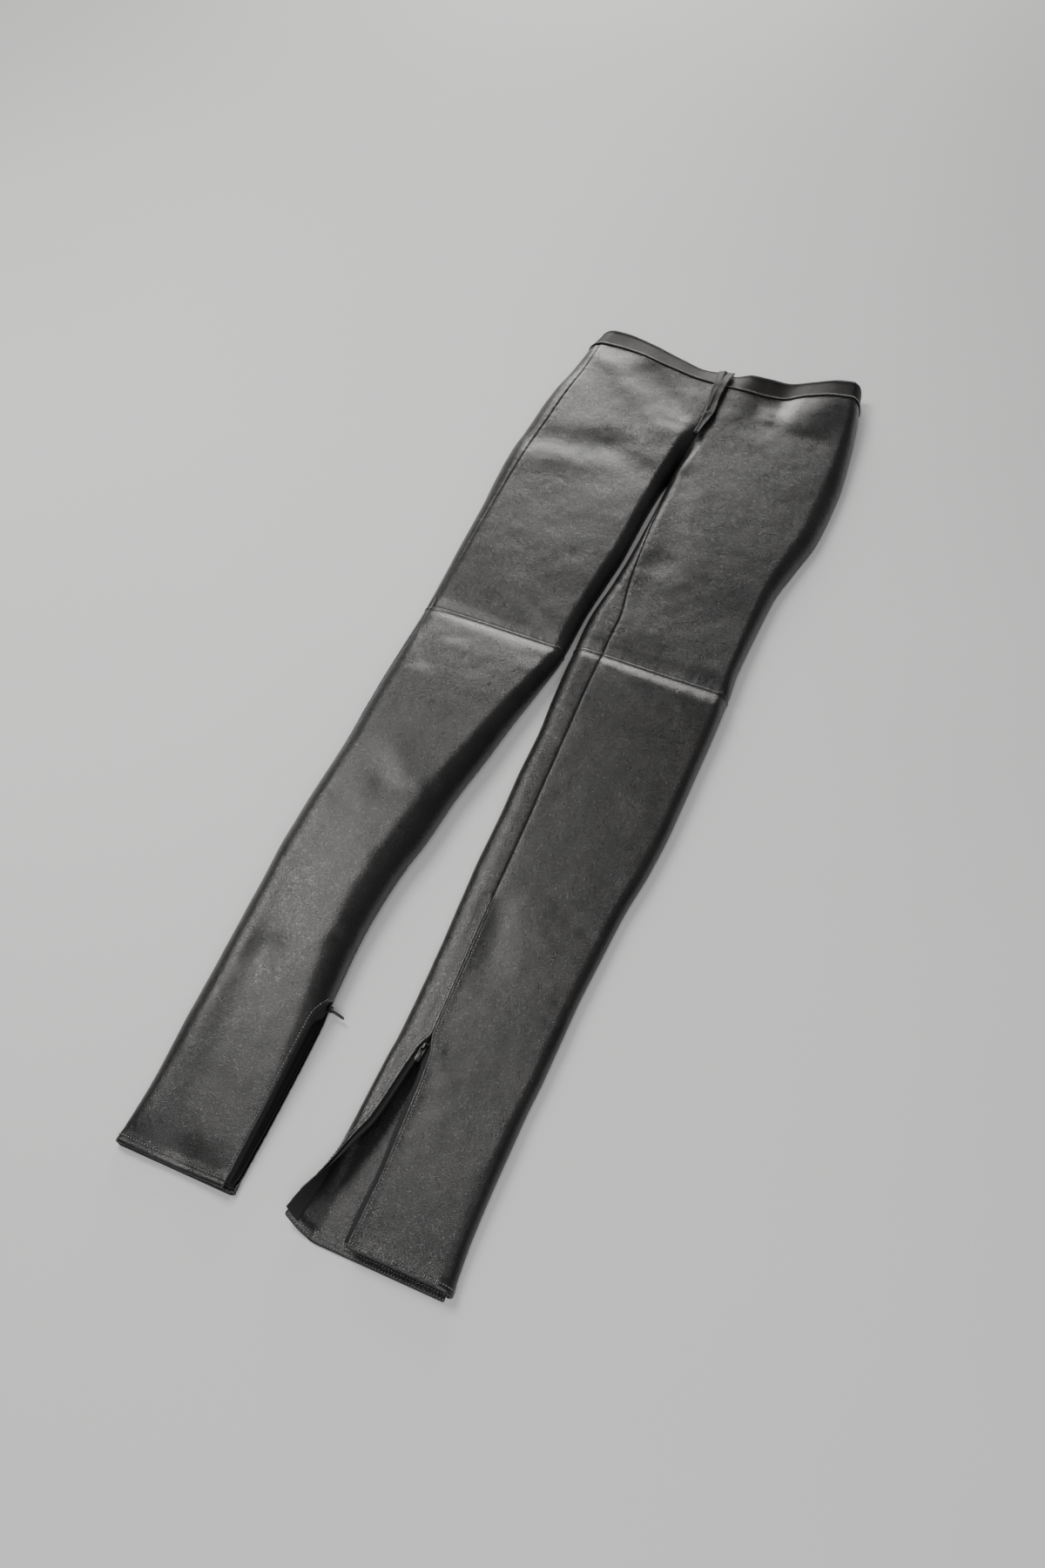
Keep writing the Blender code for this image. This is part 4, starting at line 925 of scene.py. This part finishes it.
def ring_faces(first, second, sides):
    """Faces between two rings of vertices."""
    return [(first + m, first + (m + 1) % sides, second + (m + 1) % sides, second + m)
            for m in range(sides)]


def capsule(sides=6, rings=4, bluntness=0.6):
    """A stitch about the origin, along x, with length and width 1."""
    vertices = [(-0.5, 0.0, 0.0)]
    for k in range(rings):
        turn = math.pi * (k + 1) / (rings + 1)
        radius = 0.5 * math.sin(turn) ** bluntness
        for m in range(sides):
            around = 2 * math.pi * m / sides
            vertices.append((-0.5 * math.cos(turn), radius * math.cos(around),
                             radius * math.sin(around)))
    vertices.append((0.5, 0.0, 0.0))
    last = len(vertices) - 1
    faces = [(0, 1 + (m + 1) % sides, 1 + m) for m in range(sides)]
    for k in range(rings - 1):
        faces += ring_faces(1 + k * sides, 1 + (k + 1) * sides, sides)
    base = 1 + (rings - 1) * sides
    faces += [(base + m, base + (m + 1) % sides, last) for m in range(sides)]
    return np.array(vertices), faces


def block():
    """A tooth about the origin with size 1, its upper and lower edges taken off."""
    size, shoulder, cut = 0.5, 0.3, 0.32
    levels = ((-size, cut), (-shoulder, size), (shoulder, size), (size, cut))
    vertices = [(x, y, z) for z, reach in levels
                for x, y in ((-reach, -reach), (reach, -reach), (reach, reach), (-reach, reach))]
    faces = [(3, 2, 1, 0), (12, 13, 14, 15)]
    for k in range(3):
        faces += ring_faces(4 * k, 4 * k + 4, 4)
    return np.array(vertices), faces


def resample(points, normals, pitch):
    """Evenly spaced points along a line, with tangents and normals there."""
    length = np.concatenate(([0.0], np.cumsum(np.linalg.norm(np.diff(points, axis=0), axis=1))))
    count = max(1, int(length[-1] / pitch))
    at = (np.arange(count) + 0.5) * length[-1] / count
    tangent = (read_rows(at + NORMAL_STEP, length, points)
               - read_rows(at - NORMAL_STEP, length, points))
    return read_rows(at, length, points), unit(tangent), unit(read_rows(at, length, normals))


class Copies:
    """Many copies of a small shape, joined into one mesh."""

    def __init__(self, template):
        self.template, self.template_faces = template
        self.vertices, self.faces = [], []

    def add(self, place, along, normal, size, arch=0.0):
        side = unit(np.cross(normal, along))
        normal = np.cross(along, side)
        shape = self.template * size
        lift = -arch * (2 * self.template[:, 0]) ** 2
        base = len(self.vertices) * len(self.template)
        self.vertices.append(place + shape[:, :1] * along + shape[:, 1:2] * side
                             + (shape[:, 2:] + lift[:, None]) * normal)
        self.faces += [tuple(base + k for k in face) for face in self.template_faces]

    def mesh(self, name, finish):
        add_mesh(name, np.concatenate(self.vertices), self.faces, finish)


def sew(stitches, line, pitch=STITCH_PITCH, raise_by=STITCH_RISE, width=STITCH_WIDTH):
    """A row of stitches along a line of points and normals."""
    points, normals = line
    draw = np.random.default_rng(len(points))
    for place, along, normal in zip(*resample(points, normals, pitch)):
        slant = along + np.cross(normal, along) * draw.normal(0.0, STITCH_SLANT)
        length = pitch * STITCH_SHARE * draw.uniform(*STITCH_LENGTHS)
        stitches.add(place + normal * raise_by, unit(slant), normal,
                     np.array((length, width, width)), STITCH_SINK)


# ---- the leather panels
def add_panel(panel, part, rolls):
    node = f"{panel.face}_{part}_{panel.side}"
    add_sheet(f"leather_{node}", node, panel.points, panel.normals, panel.depth, rolls,
              SIDES[panel.side], LEATHER)


def make_upper_panel(side, face):
    panel = Panel(side, face, KNEE[side] + HALF_GAP, WAIST - HALF_GAP)
    panel.relief(panel.crease(), (("plain", "low", 1.0), ("plain", "high", 1.0),
                                  ("tucked", "bottom", 1.0), ("under_band", "top", 1.0)))
    add_panel(panel, "upper", (SEAM_ROLL,) * 4)


def make_lower_panel(side, face):
    panel = Panel(side, face, HEM[face][side], KNEE[side] - HALF_GAP)
    zip_share = smooth_step((ZIP_TOP - panel.rows) / SLIT_FADE)[:, None]
    if face == "front":
        outseam, zip_edge, rolls = "low", "high", (SEAM_ROLL, SEAM_ROLL, OPEN_ROLL, FOLD_ROLL)
    else:
        outseam, zip_edge, rolls = "high", "low", (OPEN_ROLL, SEAM_ROLL, SEAM_ROLL, FOLD_ROLL)
    panel.relief(panel.crease(), (("plain", outseam, 1.0), ("plain", zip_edge, 1 - zip_share),
                                  ("slit", zip_edge, zip_share), ("hem", "bottom", 1.0),
                                  ("lip", "top", 1.0)))
    panel.depth = panel.depth + (HEM_SHELL - SHELL) * smooth_step(
        (HEM_DEPTH - panel.away["bottom"]) / HEM_TURN)
    add_panel(panel, "lower", rolls)
    return panel


def sew_leg(side, panels):
    """Stitches of one leg: both faces of the hems, and beside the zip."""
    stitches = Copies(capsule())
    for face in ("front", "back"):
        panel = panels[face]
        for row in HEM_ROWS[face][side]:
            for inner in (False, True):
                sew(stitches, panel.row_line(row, inner), HEM_PITCH)
        sew(stitches, panel.column_line(SLIT_ROW, face == "front",
                                        HEM[face][side] + HEM_DEPTH, ZIP_TOP))
    stitches.mesh(f"stitches_leg_{side}", THREAD_WITH_PAINTED_SHEEN)


# ---- the waistband
def make_waistband(side):
    """Half of the band, from the fly round the side to the middle of the back."""
    band = Panel(side, "band", WAIST + HALF_GAP, BAND_TOP)
    band.along = dict.fromkeys(band.along, band.s)
    upper = smooth_step(band.normals[..., 2] / FACING_UP)
    waves = BAND_WAVES * wave_height(band.s, band.points[..., 1], BAND_SEED) * upper
    band.relief(BAND_PROUD + waves, (("lip", "bottom", 1.0), ("band_top", "top", 1.0),
                                     ("plain", "low", 1.0), ("plain", "high", 1.0)))
    add_sheet(f"leather_waistband_{side}", f"waistband_{side}", band.points, band.normals,
              BAND_SHELL, (SEAM_ROLL, FOLD_ROLL, SEAM_ROLL, SEAM_ROLL), SIDES[side], BAND_LEATHER)
    stitches = Copies(capsule())
    for station, rise, width in (
            (BAND_TOP - BAND_ROW, STITCH_RISE, STITCH_WIDTH),
            (band.rows[0] + SEAM_ROW, SEAM_ROW_RISE, SEAM_ROW_WIDTH)):
        row = np.argmin(abs(band.rows - station))
        sew(stitches, (band.points[row], band.normals[row]), raise_by=rise, width=width)
    stitches.mesh(f"stitches_band_{side}", THREAD_WITH_PAINTED_SHEEN)


# ---- the fly
FLAP_COLUMNS = 13
FLAP_SEWN = 0.5          # the flap's sewn edge above the front
FLAP_RISE = 3.4          # how far its free edge stands off
FLAP_POWER = 1.6         # how late the flap lifts off towards that edge
FLAP_CROWN = 0.5         # how far its middle swells
FLAP_WAVE, FLAP_WAVE_LENGTH, FLAP_WAVE_PHASE = 0.35, 31.0, 0.6
CLIMB_FROM, CLIMB = WAIST - 8.0, 6.0     # where the flap steps up to the band's height
BAR_PITCH = 1.1          # bars of close stitches across the flap
BAR_RISE = 0.2
BARS = ((-4.0, 0, 12), (31.0, 2, 10))      # station, first column, last column


def flap_points(places, shares):
    """The flap on the front: a row of points across it for each station."""
    rows = []
    for station in places:
        sewn, free = (read_curve(FLY_CURVES[name], station) for name in ("sewn", "free"))
        middle = float(read_curve(SECTION_CURVES["left"]["inner"], station))
        x = sewn + (free - sewn) * shares
        z = np.where(x < middle, top_height("left", station, x), top_height("right", station, x))
        over_band = BAND_PROUD * smooth_step((station - CLIMB_FROM) / CLIMB)
        rows.append(np.stack((x, station_y(station, x, 1.0), z + over_band), axis=-1))
    return np.array(rows)


def make_fly_flap():
    """The strip over the closure, sewn along one edge and standing off along the other."""
    places = fine_places(FLY_FOOT, BAND_TOP, round((BAND_TOP - FLY_FOOT) / STEP))
    shares = np.linspace(0.0, 1.0, FLAP_COLUMNS)
    points = flap_points(places, shares)
    wave = FLAP_WAVE * np.sin(2 * math.pi * places / FLAP_WAVE_LENGTH + FLAP_WAVE_PHASE)
    points[..., 2] += (FLAP_SEWN + WALL + FLAP_RISE * shares ** FLAP_POWER
                       + FLAP_CROWN * np.sin(math.pi * shares) + wave[:, None] * shares)
    normals = grid_normals(points, -1.0)
    add_sheet("leather_fly_flap", "fly_flap", points, normals, FLAP_SHELL,
              (FLAP_ROLL, FOLD_ROLL, FOLD_ROLL, FLAP_ROLL), -1.0, BAND_LEATHER)
    stitches = Copies(capsule())
    for column in (1, -2):
        sew(stitches, (points[2:-2, column], normals[2:-2, column]))
    for station, low, high in BARS:
        first = np.argmin(abs(places - station))
        for row in (first, first + 1):
            sew(stitches, (points[row, low:high + 1], normals[row, low:high + 1]), BAR_PITCH,
                BAR_RISE)
    stitches.mesh("stitches_fly", THREAD_WITH_PAINTED_SHEEN)


# ---- ankle zips
TAPE_STEP = 4.0
TAPE_SHELL = 0.7
TAPE_INSIDE = 11.0       # tape behind the leather, from its edge
TAPE_COLUMNS = 8
TAPE_SHORT = 1.0         # the tape ends this far above the hem
TEETH_SHORT = 16.0       # and its last tooth this far
TOOTH_PITCH = 1.5
TOOTH = (1.3, 0.7, 0.8)  # across, along and through the tape
TOOTH_OUT = 0.5          # middle of a tooth beyond the edge of its tape


def zip_line(side, station, line):
    """Where the zip's halves meet: midway along the closed seam, straight through the slider."""
    seam = (line.front_edge - line.end + line.back_edge) / 2
    at_slider = Outline(side, SLIDER[side])
    front, back = at_slider.front_edge - at_slider.end, at_slider.back_edge
    straight_from = SLIDER[side] + SLIDER_ROOM
    closed = np.clip((station - straight_from) / (OPEN_FROM - straight_from), 0.0, 1.0)
    through = back + (front - back) * SLIDER_SHARE[side]
    return through + (seam - through) * closed


def make_zip_tape(side, face):
    """Tape behind one edge of the ankle zip, with its teeth."""
    hem = HEM[face][side]
    sign = 1.0 if face == "front" else -1.0
    straight_to = SLIDER[side] - SLIDER_ROOM
    places = np.arange(ZIP_TOP, hem + TAPE_SHORT, -TAPE_STEP)
    points, normals = [], []
    for place in places:
        line = Outline(side, place)
        edge = line.front_edge if face == "front" else line.back_edge
        own_edge = edge - line.end if face == "front" else edge
        closed = abs(zip_line(side, place, line) - own_edge) - TAPE_APART
        parted = smooth_step((straight_to - place) / (straight_to - OPEN_FULL))
        last = edge + sign * (closed + (TAPE_SHOWS - closed) * parted)
        p, n = surface(side, place, np.linspace(edge - sign * TAPE_INSIDE, last, TAPE_COLUMNS))
        wall = HEM_WALL if place <= hem + HEM_DEPTH else WALL
        points.append(p - n * (wall + LAYER_GAP))
        normals.append(n)
    points, normals = np.array(points), np.array(normals)
    add_sheet(f"tape_{face}_{side}", f"zip_tape_{face}_{side}", points, normals, TAPE_SHELL,
              (SEAM_ROLL,) * 4, -SIDES[side] * sign, TAPE_CLOTH)

    toothed = places >= hem + TEETH_SHORT
    points, normals = points[toothed], normals[toothed]
    out = unit(points[:, -1] - points[:, -2])
    row = resample(points[:, -1] - normals[:, -1] * TAPE_SHELL / 2, normals[:, -1], TOOTH_PITCH)
    ways = unit(read_rows(np.linspace(0, len(out) - 1, len(row[0])), np.arange(len(out)), out))
    shift = TOOTH_PITCH / 2 if face == "front" else 0.0
    teeth = Copies(block())
    for place, along, normal, way in zip(*row, ways):
        teeth.add(place + way * TOOTH_OUT + along * shift, way, normal, np.array(TOOTH))
    teeth.mesh(f"teeth_{face}_{side}", NYLON)


# ---- pieces that keep their solids
BEVEL_WIDTH = 0.00022    # metres
BEVEL_SEGMENTS = 3
BEVEL_ANGLE = 30.0       # degrees
WELD_DISTANCE = 0.00001


def dress_solids():
    """The sliders and tabs get rounded edges; the fly's zip and shield lie hidden."""
    for name, finish in (("slider_left", METAL), ("pull_left", METAL), ("slider_right", METAL),
                         ("pull_right", METAL), ("fly_zip", TAPE_CLOTH[0]),
                         ("fly_shield", LEATHER[0])):
        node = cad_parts[name]
        node.data.materials.clear()
        node.data.materials.append(finish)
        if finish is METAL:
            node.modifiers.new("weld", "WELD").merge_threshold = WELD_DISTANCE
            bevel = node.modifiers.new("round", "BEVEL")
            bevel.width = BEVEL_WIDTH
            bevel.segments = BEVEL_SEGMENTS
            bevel.angle_limit = math.radians(BEVEL_ANGLE)
            bevel.use_clamp_overlap = True
            node.data.shade_smooth()


# ---- floor, lights, camera
CAMERA_PLACE = (306.9, -1182.3, 1058.8)
CAMERA_AIM = (11.3, -502.4, 0.0)
LENS = 32.0
SENSOR = 36.0
NEAREST = 0.01           # metres
FLOOR_HALF = 4.5         # metres
FLOOR_LEVEL = -0.0002

LIGHTS = (
    # name, place and aim in garment millimetres, size in metres, power in watts, colour
    ("rear key", (-1000.0, 2300.0, 640.0), (0.0, -350.0, 0.0), 1.2, 66.0, (1.0, 0.985, 0.96)),
    ("side key", (-1000.0, -150.0, 1500.0), (0.0, -900.0, 0.0), 0.8, 28.0, (1.0, 0.985, 0.96)),
    ("fill", (700.0, -1900.0, 2200.0), (0.0, -400.0, 0.0), 2.0, 50.0, (1.0, 1.0, 1.0)),
)
SKY = (0.30, 0.30, 0.31)
SKY_STRENGTH = 0.5


def add_aimed(name, data, place, aim):
    """A camera or light that looks from one place at another."""
    made = bpy.data.objects.new(name, data)
    made.location = to_world(place)
    way = Vector(to_world(aim)) - Vector(to_world(place))
    made.rotation_euler = way.to_track_quat("-Z", "Y").to_euler()
    bpy.context.scene.collection.objects.link(made)
    return made


def make_camera():
    data = bpy.data.cameras.new("camera")
    data.lens = LENS
    data.sensor_width = SENSOR
    data.sensor_fit = "AUTO"
    data.clip_start = NEAREST
    bpy.context.scene.camera = add_aimed("camera", data, CAMERA_PLACE, CAMERA_AIM)


def make_floor():
    mesh = bpy.data.meshes.new("floor")
    corners = ((-1, -1), (1, -1), (1, 1), (-1, 1))
    mesh.from_pydata([(x * FLOOR_HALF, y * FLOOR_HALF, FLOOR_LEVEL) for x, y in corners], [],
                     [(0, 1, 2, 3)])
    mesh.materials.append(FLOOR_PAINT)
    floor = bpy.data.objects.new("floor", mesh)
    bpy.context.scene.collection.objects.link(floor)


def make_lights():
    for name, place, aim, size, power, colour in LIGHTS:
        light = bpy.data.lights.new(name, "AREA")
        light.shape = "SQUARE"
        light.size = size
        light.energy = power
        light.color = colour
        add_aimed(name, light, place, aim)
    world = bpy.data.worlds.new("studio")
    world.use_nodes = True
    background = world.node_tree.nodes["Background"]
    background.inputs["Color"].default_value = (*SKY, 1.0)
    background.inputs["Strength"].default_value = SKY_STRENGTH
    bpy.context.scene.world = world


# ---- all of it
make_camera()
make_floor()
make_lights()
for side in SIDES:
    for face in ("back", "front"):
        make_upper_panel(side, face)
    lower = {face: make_lower_panel(side, face) for face in ("back", "front")}
    sew_leg(side, lower)
    make_waistband(side)
    for face in ("front", "back"):
        make_zip_tape(side, face)
make_fly_flap()
dress_solids()
